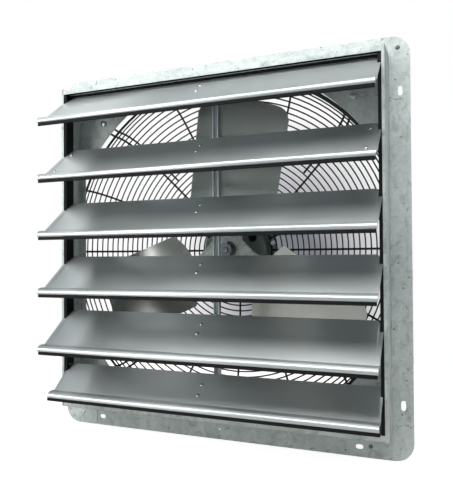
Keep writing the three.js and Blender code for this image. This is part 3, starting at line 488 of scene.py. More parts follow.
def on_y(a, b, station):
    return Vector((a, station, b))


def on_z(a, b, station):
    return Vector((a, b, station))


def bridge(mesh, near, far):
    """Band of faces between two closed rows of corners, which may share some of them."""
    for i in range(len(near)):
        corners = list(dict.fromkeys((near[i - 1], near[i], far[i], far[i - 1])))
        if len(corners) > 2:
            mesh.faces.new(corners)


def drawn_out(mesh, outline, stations, place):
    """Outline drawn out through a row of stations."""
    rows = [[mesh.verts.new(place(a, b, station)) for a, b in outline] for station in stations]
    for near, far in pairwise(rows):
        bridge(mesh, near, far)
    mesh.faces.new(rows[0][::-1])
    mesh.faces.new(rows[-1])
    return rows


PLATE_TURNS = {
    on_x: Matrix(((0, 0, 1, 0), (1, 0, 0, 0), (0, 1, 0, 0), (0, 0, 0, 1))),
    on_y: Matrix.Rotation(math.pi / 2, 4, "X"),
}


def flat_plate(mesh, outline, holes, low, high, place, edge=0.3 * MM):
    """Plate with holes and softened edges, between two stations."""
    curve = bpy.data.curves.new("plate", "CURVE")
    curve.dimensions = "2D"
    curve.fill_mode = "BOTH"
    curve.extrude = (high - low) / 2 - edge
    curve.bevel_depth = edge
    curve.bevel_resolution = 1
    curve.offset = -edge
    for line in (outline, *holes):
        spline = curve.splines.new("POLY")
        spline.points.add(len(line) - 1)
        for point, (a, b) in zip(spline.points, line):
            point.co = (a, b, 0, 1)
        spline.use_cyclic_u = True
    holder = bpy.data.objects.new("plate", curve)
    plate = bpy.data.meshes.new_from_object(holder)
    middle = place(0, 0, (low + high) / 2)
    plate.transform(Matrix.Translation(middle) @ PLATE_TURNS[place])
    mesh.from_mesh(plate)
    bpy.data.objects.remove(holder)
    bpy.data.curves.remove(curve)
    bpy.data.meshes.remove(plate)


def turned(mesh, profile, x=0, z=0, steps=48, matrix=None):
    """Closed profile of radius and Y, turned about an axis along Y."""
    matrix = matrix or Matrix.Translation((x, 0, z))
    rows = []
    for radius, y in profile:
        if radius == 0:
            rows.append([mesh.verts.new(matrix @ Vector((0, y, 0)))] * steps)
            continue
        rows.append([mesh.verts.new(matrix @ Vector((a, y, b))) for a, b in circle(0, 0, radius, steps)])
    for near, far in zip(rows, rows[1:] + rows[:1]):
        bridge(mesh, near, far)


def disc(mesh, radius, low, high, x=0, z=0, edge=0.4 * MM, steps=32, matrix=None):
    """Round bar along Y with softened ends."""
    half = [(radius - edge, low), (radius, low + edge), (radius, high - edge), (radius - edge, high)]
    turned(mesh, [(0, low), *half, (0, high)], x, z, steps, matrix)


def tube(mesh, path, radius, sides=8, closed=False):
    """Round wire along a path, carried along without twist."""
    reach = len(path)
    normal = None
    rings = []
    for i, point in enumerate(path):
        ahead = path[(i + 1) % reach] if closed else path[min(i + 1, reach - 1)]
        behind = path[i - 1] if closed else path[max(i - 1, 0)]
        along = (ahead - behind).normalized()
        normal = along.orthogonal() if normal is None else normal - along * normal.dot(along)
        normal.normalize()
        across = along.cross(normal)
        steps = [(normal * a + across * b) * radius for a, b in circle(0, 0, 1, sides)]
        rings.append([mesh.verts.new(point + step) for step in steps])
    pairs = list(pairwise(rings)) + ([(rings[-1], rings[0])] if closed else [])
    for near, far in pairs:
        bridge(mesh, near, far)
    if not closed:
        mesh.faces.new(rings[0][::-1])
        mesh.faces.new(rings[-1])


def rivet_head(mesh, radius, height, matrix):
    """Domed head that stands on the matrix's Y plane, towards -Y."""
    profile = [(0, 0), (radius, 0), (radius, -0.25 * height), (0.85 * radius, -0.65 * height),
               (0.5 * radius, -0.93 * height), (0, -height)]
    turned(mesh, profile, steps=16, matrix=matrix)


def cross_screw(mesh, radius, matrix):
    """Pan head with a cross recess, that stands on the matrix's Y plane, towards -Y."""
    height = 0.55 * radius
    turned(mesh, [(0.52 * radius, 0), (radius, 0), (radius, -0.5 * height), (0.8 * radius, -0.9 * height),
                  (0.52 * radius, -height)], steps=20, matrix=matrix)
    for quarter in range(4):
        turn = matrix @ Matrix.Rotation(math.pi / 2 * quarter, 4, "Y")
        near, far, deep = 0.12 * radius, 0.5 * radius, 0.35 * height
        corners = [(near, near), (far, near), (far * 0.75, far * 0.75), (near, far)]
        top = [mesh.verts.new(turn @ Vector((x, -height * 0.96, z))) for x, z in corners]
        low = [mesh.verts.new(turn @ Vector((x, -deep, z))) for x, z in corners]
        mesh.faces.new(top)
        bridge(mesh, top, low)


def hexagon(mesh, x, z, radius, low, high):
    """Hexagon with chamfered corners, along Y."""
    chamfer = 0.5 * MM
    inner = radius - 2 * chamfer
    half = [(inner, low), (radius, low + chamfer), (radius, high - chamfer), (inner, high)]
    turned(mesh, [(0, low), *half, (0, high)], x, z, steps=6)


def facing(x, y, z, quarters=0, axis="Z"):
    """Place whose Y axis is turned by quarter turns."""
    return Matrix.Translation((x, y, z)) @ Matrix.Rotation(math.pi / 2 * quarters, 4, axis)


def place_piece(name, mesh, material_slot, body, nodes=(), sharp=32):
    """Makes the piece, gives it its finish and lets it ride on its body."""
    bmesh.ops.recalc_face_normals(mesh, faces=mesh.faces[:])
    data = bpy.data.meshes.new(name)
    mesh.to_mesh(data)
    mesh.free()
    data.materials.append(finish(material_slot))
    data.shade_smooth()
    data.set_sharp_from_angle(angle=math.radians(sharp))
    piece = bpy.data.objects.new(name, data)
    bpy.context.collection.objects.link(piece)
    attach(piece, body)
    if nodes:
        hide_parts(*nodes)


class FanOperator:
    """What all the operators of this fan share."""
    bl_options = {"REGISTER", "UNDO"}

    def execute(self, context):
        self.build(context.scene.shutter_fan)
        return {"FINISHED"}


# Wall box

SIDE_SLOT = (17 * MM, 7.5 * MM)
END_SLOT = (13 * MM, 8 * MM)
FLANGE_HOLE = 2.5 * MM


def side_holes(box, x, margin=0):
    """Slots and holes of a side flange, wider by a margin all round."""
    reach, width = (size + 2 * margin for size in SIDE_SLOT)
    slots = [slot(x, z, reach, width, True) for z in (-box.slot_height, box.slot_height)]
    return slots + [circle(x, z, FLANGE_HOLE + margin, 16) for z in (-box.hole_height, 0, box.hole_height)]


def end_holes(box, z, margin=0):
    """Slots and outer holes of a top or bottom flange, wider by a margin all round."""
    reach, width = (size + 2 * margin for size in END_SLOT)
    slots = [slot(x, z, reach, width, False) for x in (-box.end_slot_x, box.end_slot_x)]
    return slots + [circle(x, z, FLANGE_HOLE + margin, 16) for x in (-box.end_hole_x, box.end_hole_x)]


def side_channel(box, side):
    """One side channel: flange with slots, box wall, front lip and hem."""
    mesh = bmesh.new()
    half = box.sheet / 2
    inner = box.half_width - box.sheet
    stub = box.half_width + 2 * box.bend
    reach_in = inner if side > 0 else box.seam
    height = box.flange_half_height
    outer = box.flange_half_width
    corner = box.flange_corner
    corners = [(reach_in, -height), (outer, -height), (outer, height), (reach_in, height),
               (reach_in, box.top), (stub, box.top), (stub, -box.bottom), (reach_in, -box.bottom)]
    line = rounded(corners, [0, corner, corner, 0, 0, 0, 0, 0], steps=8)
    flat_plate(mesh, line, side_holes(box, outer - box.slot_inset), 0, box.sheet, on_y)
    front = -box.depth + half
    wall = box.half_width - half
    path = rounded([(stub, half), (wall, half), (wall, front), (box.half_width - box.side_lip, front)],
                   [0, box.bend, box.bend, 0], closed=False)
    drawn_out(mesh, sheet_outline(path, box.sheet), (-box.bottom, box.top), on_z)
    straight = height - corner
    hem = rectangle(outer - box.hem_width, -box.hem_sheet, outer, half, 0.4 * MM)
    drawn_out(mesh, hem, (-straight, straight), on_z)
    if side < 0:
        bmesh.ops.scale(mesh, vec=(-1, 1, 1), verts=mesh.verts)
    return mesh


def end_channel(box, end):
    """Top or bottom channel: flange between the side pieces, wall and lip."""
    mesh = bmesh.new()
    gap = 0.3 * MM
    half = box.sheet / 2
    edge = box.top if end > 0 else box.bottom
    span = box.half_width - box.sheet - gap
    stub = edge + 2 * box.bend
    height = box.flange_half_height
    seam = -box.seam + 5 * gap
    line = [(seam, stub), (span, stub), (span, height), (seam, height)]
    z = height - box.end_slot_inset
    flat_plate(mesh, line, [*end_holes(box, z), circle(0, z, FLANGE_HOLE, 16)], 0, box.sheet, on_y)
    front = -box.depth + half
    path = rounded(
        [(half, stub), (half, edge - half), (front, edge - half), (front, edge - box.end_lip)],
        [0, box.bend, box.bend, 0], closed=False)
    drawn_out(mesh, sheet_outline(path, box.sheet), (-span, span), on_x)
    if end < 0:
        bmesh.ops.scale(mesh, vec=(1, 1, -1), verts=mesh.verts)
    return mesh


class FAN_OT_wall_box(FanOperator, bpy.types.Operator):
    """Bent steel channels of the wall box, their flange and the orifice panel"""
    bl_idname = "shutter_fan.wall_box"
    bl_label = "Wall box"

    def build(self, fan):
        box = fan.box
        for side, word in ((-1, "left"), (1, "right")):
            name = f"side_channel_{word}"
            place_piece(f"{name}_sheet", side_channel(box, side), "galvanised_steel", "frame", [name])
        for end, word in ((-1, "bottom"), (1, "top")):
            name = f"{word}_channel"
            place_piece(f"{name}_sheet", end_channel(box, end), "galvanised_steel", "frame", [name])
        self.orifice_panel(box, fan.guard)
        self.seal_retainer()
        self.flange_fasteners(box)

    def seal_retainer(self):
        """Thin bent edge that holds the top seal on its front."""
        low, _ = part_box("top_seal")
        mesh = bmesh.new()
        y, z = low.y - 0.3 * MM, low.z + 5.2 * MM
        depth, height = 1 * MM, 1.6 * MM
        corners = [(y - depth, z), (y, z), (y, z + height), (y - depth, z + height)]
        drawn_out(mesh, rounded(corners, [0.4 * MM] * 4), (low.x, -low.x), on_x)
        place_piece("seal_retainer", mesh, "galvanised_steel", "frame")

    def orifice_panel(self, box, guard):
        """Panel behind the flange with the rolled edge of its opening."""
        mesh = bmesh.new()
        front = box.sheet + 0.3 * MM
        margin = 2.5 * MM
        line = rectangle(
            -box.flange_half_width + margin, -box.flange_half_height + margin,
            box.flange_half_width - margin, box.flange_half_height - margin, box.flange_corner - margin)
        turn = math.acos(box.orifice_half_width / box.orifice_radius)
        opening = []
        for start in (0, math.pi):
            for i in range(49):
                t = start + turn + (math.pi - 2 * turn) * i / 48
                opening.append(Vector((math.cos(t), math.sin(t))) * box.orifice_radius)
        bolts = [(x, z) for x in (-guard.bolt_x, guard.bolt_x) for z in (-guard.bolt_z, guard.bolt_z)]
        bolt_hole = 3.4 * MM
        holes = [opening] + [circle(x, z, bolt_hole) for x, z in bolts]
        margin = 0.8 * MM
        x = box.flange_half_width - box.slot_inset
        z = box.flange_half_height - box.end_slot_inset
        for side in (-1, 1):
            holes += side_holes(box, side * x, margin)[:2] + end_holes(box, side * z, margin)[:2]
        flat_plate(mesh, line, holes, front, front + box.panel_sheet, on_y)
        bead = [Vector((p.x, front + box.panel_sheet, p.y)) for p in opening]
        tube(mesh, bead, box.bead, closed=True)
        place_piece("orifice_panel_sheet", mesh, "galvanised_steel", "frame", ["orifice_panel"])

    def flange_fasteners(self, box):
        """Rivets and screws in the flange and the side walls."""
        rivets, screws = bmesh.new(), bmesh.new()
        for x, z in ((316, -345), (338, -346), (-316, -346), (-338, 349)):
            rivet_head(rivets, 2.8 * MM, 2 * MM, facing(x * MM, 0, z * MM))
        for z in (282, 233, 66, -98, -205):
            for side in (-1, 1):
                rivet_head(rivets, 2.6 * MM, 1.6 * MM, facing(side * box.half_width, -9 * MM, z * MM, side))
        for x, z in ((340, 348.7), (287.6, -348.3)):
            cross_screw(screws, 3.6 * MM, facing(x * MM, 0, z * MM))
        for z in (300, -90):
            cross_screw(screws, 4 * MM, facing(-319.2 * MM, -46 * MM, z * MM, 1))
        place_piece("flange_rivets", rivets, "zinc_plate", "frame")
        place_piece("flange_screws", screws, "steel", "frame")


# Louvres

def louvre_form(louvre, index):
    """Slope, width and place of a louvre's top edge."""
    last = index == louvre.number - 1
    slope = louvre.last_slope if last else louvre.slope
    width = louvre.last_plate if last else louvre.plate
    down = Vector((-math.cos(slope), -math.sin(slope)))
    edge = Vector((-louvre.inset, louvre.top - louvre.pitch * index))
    return slope, width, down, edge


def louvre_plate(louvre, index):
    """Plate with a forward lip and a rounded nose, end ears and pivot pins."""
    mesh = bmesh.new()
    _, width, down, edge = louvre_form(louvre, index)
    under = Vector((-down.y, down.x)) * louvre.sheet
    joint = edge + down * width
    nose = joint + Vector((-louvre.lip, -louvre.lip_drop))
    low = nose.y - louvre.nose_height
    back = nose.x + louvre.nose
    corners = [
        edge, joint, joint + Vector((-5, 1.4)) * MM, joint + Vector((-14.5, 0.5)) * MM,
        (nose.x - louvre.bulge, nose.y - 1 * MM), (nose.x - louvre.bulge, low), (back, low),
        (back, nose.y - louvre.sheet), (joint.x, joint.y - louvre.sheet), edge + under]
    radii = [value * MM for value in (0.2, 0.8, 5, 8, 5.5, 3, 1, 0.6, 1.8, 0.2)]
    steps = 6
    line = rounded(corners, radii, steps=steps)
    last = index == louvre.number - 1
    half = louvre.half_length - (louvre.last_short if last else 0)
    cut = half - (louvre.last_cut if last else louvre.notch)
    ends = [half, cut + 0.1 * MM] + [cut - inset * MM for inset in (0, 1, 2.5, 5, 8)]
    stations = [-x for x in ends] + [-half / 2, 0, half / 2] + ends[::-1]
    rows = drawn_out(mesh, line, stations, on_x)
    for row, x in zip(rows, stations):
        away = cut - abs(x)
        if away < 0:
            slide = louvre.last_cut if last else louvre.notch_length
        else:
            slide = louvre.corner - math.sqrt(louvre.corner ** 2 - max(louvre.corner - away, 0) ** 2)
        for vertex in row[:steps + 1] + row[-steps - 1:]:
            vertex.co += Vector((0, down.x, down.y)) * slide
    pivot = edge + Vector((-louvre.pivot_out, -louvre.pivot_down))
    ear = [edge + down * 9 * MM, edge + down * 43 * MM]
    ear += [pivot + Vector((math.cos(t), math.sin(t))) * 6 * MM for t in (-2.5, -2, -1.5, -1, -0.5, 0)]
    for side in (-1, 1):
        outer = side * cut
        inner = outer - side * 1.2 * MM
        flat_plate(mesh, ear, [], min(inner, outer), max(inner, outer), on_x, 0.2 * MM)
        place = facing(outer, pivot.x, pivot.y, -side)
        disc(mesh, louvre.pin, -0.6 * MM, louvre.pin_reach, steps=16, matrix=place)
    return mesh


def on_slope(louvre, index, x, distance):
    """Place on a louvre's upper face whose -Y points out of the plate."""
    slope, _, down, edge = louvre_form(louvre, index)
    spot = edge + down * distance
    out = Vector((0, -math.sin(slope), math.cos(slope)))
    side = Vector((1, 0, 0))
    axes = Matrix((side, -out, side.cross(-out))).transposed().to_4x4()
    return Matrix.Translation((x, spot.x, spot.y)) @ axes


class FAN_OT_louvres(FanOperator, bpy.types.Operator):
    """Louvre plates with their seals, rivets and link brackets"""
    bl_idname = "shutter_fan.louvres"
    bl_label = "Louvres"

    def build(self, fan):
        louvre = fan.louvre
        for index in range(louvre.number):
            body = f"louvre_{index + 1}"
            sheet, link = louvre_plate(louvre, index), self.bracket(louvre, index)
            place_piece(f"{body}_sheet", sheet, "louvre_aluminium", body, [f"{body}_plate"])
            place_piece(f"{body}_seal", self.seal(louvre, index), "black_rubber", body, [f"{body}_edge_seal"])
            place_piece(f"{body}_link", link, "galvanised_steel", body, [f"{body}_bracket"])
            place_piece(f"{body}_rivets", self.rivets(louvre, index), "zinc_plate", body)

    def seal(self, louvre, index):
        """Rubber strip under the nose, with a thin rounded edge."""
        _, width, down, edge = louvre_form(louvre, index)
        nose = edge + down * width + Vector((-louvre.lip, -louvre.lip_drop))
        front = nose.x + (louvre.nose - louvre.seal_sheet) / 2
        back = front + louvre.seal_sheet
        top = nose.y - louvre.nose_height - 0.3 * MM
        low = top - louvre.seal
        mesh = bmesh.new()
        corners = [(front, low), (back, low), (back, top), (front, top)]
        line = rounded(corners, [v * MM for v in (1.4, 1.4, 0.2, 0.2)])
        half = louvre.half_length - 1.2 * MM
        drawn_out(mesh, line, (-half, 0, half), on_x)
        return mesh

    def bracket(self, louvre, index):
        """Bent bracket: a riveted foot, an arm and the link pin."""
        mesh = bmesh.new()
        _, _, down, edge = louvre_form(louvre, index)
        below = Vector((-down.y, down.x))
        start, end = (edge + down * distance * MM for distance in (20, 56))
        top, low = (below * depth for depth in (1.3 * MM, 2.5 * MM))
        drawn_out(mesh, [start + top, end + top, end + low, start + low], (-14 * MM, 0), on_x)
        pin = Vector((-louvre.link_out, edge.y - louvre.link_down))
        arm = [start + top, end + top]
        arm += [pin + Vector((math.cos(t), math.sin(t))) * 5 * MM for t in (-1.57, -1, -0.5, 0, 0.5, 1, 1.57)]
        flat_plate(mesh, arm, [], -3.8 * MM, -2.6 * MM, on_x, 0.2 * MM)
        disc(mesh, 2 * MM, -4.6 * MM, 10.6 * MM, steps=14, matrix=facing(0, pin.x, pin.y, -1))
        return mesh

    def rivets(self, louvre, index):
        """Domed rivets of the link, and at the ends of the second louvre."""
        mesh = bmesh.new()
        places = [(-louvre.rivet_x, 26), (-louvre.rivet_x, 50)]
        if index == 1:
            places += [(side * 300 * MM, distance) for side in (-1, 1) for distance in (20, 88)]
        for x, distance in places:
            rivet_head(mesh, louvre.rivet, 1.9 * MM, on_slope(louvre, index, x, distance * MM))
        return mesh


class FAN_OT_tie_bar(FanOperator, bpy.types.Operator):
    """Channel that links the six louvres"""
    bl_idname = "shutter_fan.tie_bar"
    bl_label = "Tie bar"

    def build(self, fan):
        louvre = fan.louvre
        mesh = bmesh.new()
        half = 0.6 * MM
        left, right = -2 * MM + half, 10 * MM - half
        front, back = -21.5 * MM, -10.5 * MM - half
        corners = [(left, front), (left, back), (right, back), (right, front)]
        path = rounded(corners, [v * MM for v in (0, 1.4, 1.4, 0)], closed=False)
        top = louvre.top - louvre.link_down
        low = top - louvre.pitch * (louvre.number - 1)
        drawn_out(mesh, sheet_outline(path, 2 * half), (low - 6 * MM, top + 6 * MM), on_z)
        for index in range(louvre.number):
            place = facing(10 * MM, -louvre.link_out, top - louvre.pitch * index, -1)
            disc(mesh, 4 * MM, 0, 0.8 * MM, steps=16, edge=0.2 * MM, matrix=place)
        place_piece("tie_bar_channel", mesh, "louvre_aluminium", "tie_bar", ["tie_bar"])


# Fan

def share_between(low, high, value):
    return (value - low) / (high - low)


def mix(low, high, share):
    return low + (high - low) * share


def smooth_step(low, high, value):
    t = min(max(share_between(low, high, value), 0), 1)
    return t * t * (3 - 2 * t)


LEADING = (Vector((-69.5, 107)) * MM, Vector((-50, 290)) * MM)
TRAILING = (Vector((96, 103)) * MM, Vector((127, 285)) * MM)
ROOT_BOTTOM = 81 * MM
ROOT_BOTTOM_SHARE = 0.55
TIP_CORNER_DROP = 20 * MM
TIP_CORNER_SHARE = 0.14


def edge_x(edge, z):
    root, tip = edge
    return mix(root.x, tip.x, share_between(root.y, tip.y, z))


def blade_y(fan, x, z):
    """Middle of the blade's sheet above the blade that points up."""
    across = share_between(edge_x(LEADING, z), edge_x(TRAILING, z), x)
    return mix(fan.front, fan.back, across) + 4 * fan.camber * across * (1 - across)


def blade_point(fan, across, up):
    left = across < ROOT_BOTTOM_SHARE
    rise = (LEADING if left else TRAILING)[0].y - ROOT_BOTTOM
    span = ROOT_BOTTOM_SHARE if left else 1 - ROOT_BOTTOM_SHARE
    root = ROOT_BOTTOM + rise * ((across - ROOT_BOTTOM_SHARE) / span) ** 2
    edge = min(across, 1 - across) / TIP_CORNER_SHARE
    drop = TIP_CORNER_DROP * (1 - math.sqrt(1 - (1 - edge) ** 2)) if edge < 1 else 0
    tip = math.sqrt(fan.tip ** 2 - mix(LEADING[1].x, TRAILING[1].x, across) ** 2) - drop
    z = mix(root, tip, up)
    x = mix(edge_x(LEADING, z), edge_x(TRAILING, z), across)
    return Vector((x, blade_y(fan, x, z), z))


def two_skins(mesh, grid, thickness):
    """Sheet through a grid of points, thickened towards both sides along Y."""
    half = Vector((0, thickness / 2, 0))
    skins = [[[mesh.verts.new(point + shift) for point in row] for row in grid] for shift in (half, -half)]
    for skin in skins:
        for low, high in pairwise(skin):
            for i in range(len(low) - 1):
                mesh.faces.new((low[i], low[i + 1], high[i + 1], high[i]))
    back, front = skins
    rims = [(back[0], front[0]), (back[-1], front[-1])]
    rims += [([row[k] for row in back], [row[k] for row in front]) for k in (0, -1)]
    for one, other in rims:
        for i in range(len(one) - 1):
            mesh.faces.new((one[i], one[i + 1], other[i + 1], other[i]))


# A spider's arm: places along it, from the axis, and the height of its middle ridge
ARM_START, ARM_END = 14 * MM, 172 * MM
LIP_START, LIP_FADE = 26 * MM, 60 * MM
BLADE_START, BLADE_FLAT = 32 * MM, 76 * MM
RIDGE_START, RIDGE_TOP = 34 * MM, 44 * MM
FOOT_END = 62 * MM
TIP_START = 150 * MM
RIDGE = 2.2 * MM


def spider_arm(mesh, fan, matrix):
    """Arm of the spider: flared foot, turned lips, then flat behind the blade."""
    grid = []
    for step in range(33):
        z = mix(ARM_START, ARM_END, step / 32)
        flare = max(FOOT_END - z, 0) / (FOOT_END - ARM_START)
        half = min(25 * MM + 12 * MM * flare ** 2, 1.7 * z)
        half *= 1 - 0.35 * smooth_step(TIP_START, ARM_END, z) ** 2
        lip = fan.lip * (1 - smooth_step(LIP_FADE, BLADE_FLAT, z)) * smooth_step(ARM_START, LIP_START, z)
        row = []
        for k in range(17):
            u = k / 8 - 1
            x = u * half
            rise = lip * smooth_step(0.78, 1, abs(u))
            ridge = RIDGE * (1 - smooth_step(0.25, 0.45, abs(u))) * smooth_step(RIDGE_START, RIDGE_TOP, z)
            ridge *= 1 - smooth_step(FOOT_END, BLADE_FLAT, z)
            on_blade = blade_y(fan, x, z) + (fan.sheet + fan.spider_sheet) / 2 + 0.5 * MM
            level = mix(fan.spider + fan.spider_sheet / 2, on_blade, smooth_step(BLADE_START, BLADE_FLAT, z))
            row.append(matrix @ Vector((x, level - rise - ridge, z)))
        grid.append(row)
    two_skins(mesh, grid, fan.spider_sheet)


class FAN_OT_blades(FanOperator, bpy.types.Operator):
    """Three cambered blades with their rivets"""
    bl_idname = "shutter_fan.blades"
    bl_label = "Blades"

    def build(self, fan):
        sizes = fan.fan
        rivets, pins = bmesh.new(), bmesh.new()
        for index in range(sizes.blades):
            turn = Matrix.Rotation(TURN * index / sizes.blades, 4, "Y")
            mesh = bmesh.new()
            rows = [[blade_point(sizes, across / 28, up / 20) for across in range(29)] for up in range(21)]
            two_skins(mesh, [[turn @ point for point in row] for row in rows], sizes.sheet)
            place_piece(f"blade_{index + 1}_sheet", mesh, "blade_metal", "fan", [f"blade_{index + 1}"])
            for x, z in ((-14, 100), (14, 100), (0, 130), (-14, 160), (14, 160)):
                rivet_head(rivets, 4 * MM, 0.5 * MM, turn @ self.on_blade(sizes, x * MM, z * MM, 18))
            rivet_head(pins, 2.2 * MM, 0.6 * MM, turn @ self.on_blade(sizes, 56 * MM, 100 * MM, 10))
        place_piece("blade_rivets", rivets, "blade_metal", "fan")
        place_piece("blade_pins", pins, "steel", "fan")

    def on_blade(self, sizes, x, z, lean):
        """Place on the front of the blade that points up, leaning by some degrees."""
        y = blade_y(sizes, x, z) - sizes.sheet / 2
        return Matrix.Translation((x, y, z)) @ Matrix.Rotation(math.radians(lean), 4, "Z")


class FAN_OT_spider(FanOperator, bpy.types.Operator):
    """Stamped three arm spider"""
    bl_idname = "shutter_fan.spider"
    bl_label = "Spider"

    def build(self, fan):
        sizes = fan.fan
        mesh = bmesh.new()
        for index in range(sizes.blades):
            spider_arm(mesh, sizes, Matrix.Rotation(TURN * index / sizes.blades, 4, "Y"))
        front, back = sizes.spider - 0.2 * MM, sizes.spider + sizes.spider_sheet + 0.2 * MM
        turned(mesh, [(8.5 * MM, front), (30 * MM, front), (30 * MM, back), (8.5 * MM, back)])
        place_piece("spider_pressing", mesh, "galvanised_steel", "fan", ["spider"], sharp=40)


class FAN_OT_hub(FanOperator, bpy.types.Operator):
    """Hub with its set screw, and the motor's shaft"""
    bl_idname = "shutter_fan.hub"
    bl_label = "Hub"

    def build(self, fan):
        sizes, motor = fan.fan, fan.motor
        back = sizes.spider - 0.3 * MM
        front = back - 16 * MM
        step = back - 3 * MM
        bore = motor.shaft + 0.3 * MM
        soft = 0.8 * MM
        flange = 17.5 * MM
        hub = bmesh.new()
        fillet = 1.5 * MM
        turned(hub, [
            (bore, front), (sizes.hub - soft, front), (sizes.hub, front + soft), (sizes.hub, step - fillet),
            (sizes.hub + fillet, step), (flange - soft, step), (flange, step + soft), (flange, back),
            (bore, back)])
        place_piece("fan_hub_boss", hub, "steel", "fan", ["fan_hub"])
        screw = bmesh.new()
        disc(screw, 2.5 * MM, 6.6 * MM, 17 * MM, steps=16, matrix=facing(0, front + 7 * MM, 0, 1, "X"))
        place_piece("hub_set_screw_head", screw, "zinc_plate", "fan", ["hub_set_screw"])
        shaft = bmesh.new()
        disc(shaft, motor.shaft, 33 * MM, 186.7 * MM, edge=0.8 * MM)
        place_piece("motor_shaft_bar", shaft, "steel", "fan", ["motor_shaft"])


# Guard

def around(turn, radius, sideways, y):
    """Point at a radius from the axis and a step sideways from that radius."""
    across, up = math.cos(turn), math.sin(turn)
    return Vector((radius * across - sideways * up, y, radius * up + sideways * across))


def guard_point(guard, turn, lift, sideways, share):
    """Point on the dome, a share of the way from the hub ring to the rim."""
    reach, rise = guard.radius + lift, guard.rise + lift
    start = math.asin((guard.hub / reach) ** 1.5)
    bend = mix(start, math.pi / 2, share)
    y = guard.rim + rise * max(math.cos(bend), 0) ** (2 / 3)
    return around(turn, reach * math.sin(bend) ** (2 / 3), sideways, y)


def evenly(points, number):
    """Points at even steps along a line of points."""
    marks = [0]
    for one, other in pairwise(points):
        marks.append(marks[-1] + (other - one).length)
    spaced = []
    k = 0
    for i in range(number + 1):
        goal = marks[-1] * i / number
        while k < len(marks) - 2 and marks[k + 1] < goal:
            k += 1
        spaced.append(points[k].lerp(points[k + 1], share_between(marks[k], marks[k + 1], goal)))
    return spaced


def smooth_path(points, steps=6):
    """Curve through the points, as a close row of points."""
    path = []
    for i in range(len(points) - 1):
        before = points[max(i - 1, 0)]
        start, end = points[i], points[i + 1]
        after = points[min(i + 2, len(points) - 1)]
        for k in range(steps):
            t = k / steps
            path.append(0.5 * (
                2 * start + (end - before) * t + (2 * before - 5 * start + 4 * end - after) * t ** 2
                + (3 * start - before - 3 * end + after) * t ** 3))
    return path + [points[-1]]


# Spokes that stand a little off their even places, in degrees
SPOKE_SHIFTS = {1: -2, 9: 2.5, 15: -2.5}
# Where a hairpin's short leg starts, as a share of the way from the hub ring
SHORT_LEG_START = 3 / 7
# Middle of a hairpin's wire where it lies on the panel, behind the flange
HAIRPIN_LEVEL = 5.1 * MM


def hoop(mesh, radius, y, wire, steps=96, sides=6):
    tube(mesh, [Vector((x, y, z)) for x, z in circle(0, 0, radius, steps)], wire, sides, closed=True)


class FAN_OT_guard(FanOperator, bpy.types.Operator):
    """Domed wire guard with its rings, spokes and hairpins"""
    bl_idname = "shutter_fan.guard"
    bl_label = "Wire guard"

    def build(self, fan):
        guard = fan.guard
        mesh = bmesh.new()
        hoop(mesh, guard.radius, guard.rim, guard.rim_wire, sides=10)
        hoop(mesh, guard.hub, guard.rim + guard.rise, guard.rim_wire, 64, 10)
        line = [guard_point(guard, 0, 0, 0, i / 400) for i in range(401)]
        reach = sum((other - one).length for one, other in pairwise(line))
        for spot in evenly(line, round(reach / guard.ring_pitch))[1:-1]:
            hoop(mesh, spot.x, spot.y, guard.ring_wire)
        for i in range(guard.spokes):
            if i % 4 != 2:
                turn = TURN * i / guard.spokes + math.radians(SPOKE_SHIFTS.get(i, 0))
                tube(mesh, self.leg(guard, turn), guard.spoke_wire)
        slant = math.atan2(guard.bolt_z, guard.bolt_x)
        for turn, long_side in ((slant, -1), (math.pi - slant, 1), (math.pi + slant, -1), (-slant, 1)):
            tube(mesh, self.hairpin(guard, turn, long_side), guard.spoke_wire)
        place_piece("wire_guard_wires", mesh, "black_enamel", "frame", ["wire_guard"], sharp=60)

    def leg(self, guard, turn, sideways=0, start=0):
        """Wire over the dome to the rim; its start is a share of the way from the hub ring."""
        line = [guard_point(guard, turn, guard.lift, sideways, i / 200) for i in range(201)]
        return evenly(line, 28)[round(28 * start):]

    def hairpin(self, guard, turn, long_side):
        """A long and a short leg over the dome and down to the panel, joined round the bolt."""
        distance = math.hypot(guard.bolt_x, guard.bolt_z)
        start = (guard.radius + distance) / 2
        half = guard.leg
        starts = [0 if side == long_side else SHORT_LEG_START for side in (-1, 1)]
        down, up = (self.leg(guard, turn, side * half, share) for side, share in zip((-1, 1), starts))
        loop = [(distance + half * math.cos(t), half * math.sin(t)) for t in (-1.57, -0.78, 0, 0.78, 1.57)]
        low = [around(turn, *spot, HAIRPIN_LEVEL) for spot in [(start, -half), *loop, (start, half)]]
        return smooth_path(down + low + up[::-1], 3)


def mount_bolt_places(motor):
    """Centres of the four mount bolts."""
    turns = [TURN * (number + 1 / 8) / 4 for number in range(4)]
    return [(motor.bolt_circle * math.cos(turn), motor.bolt_circle * math.sin(turn)) for turn in turns]


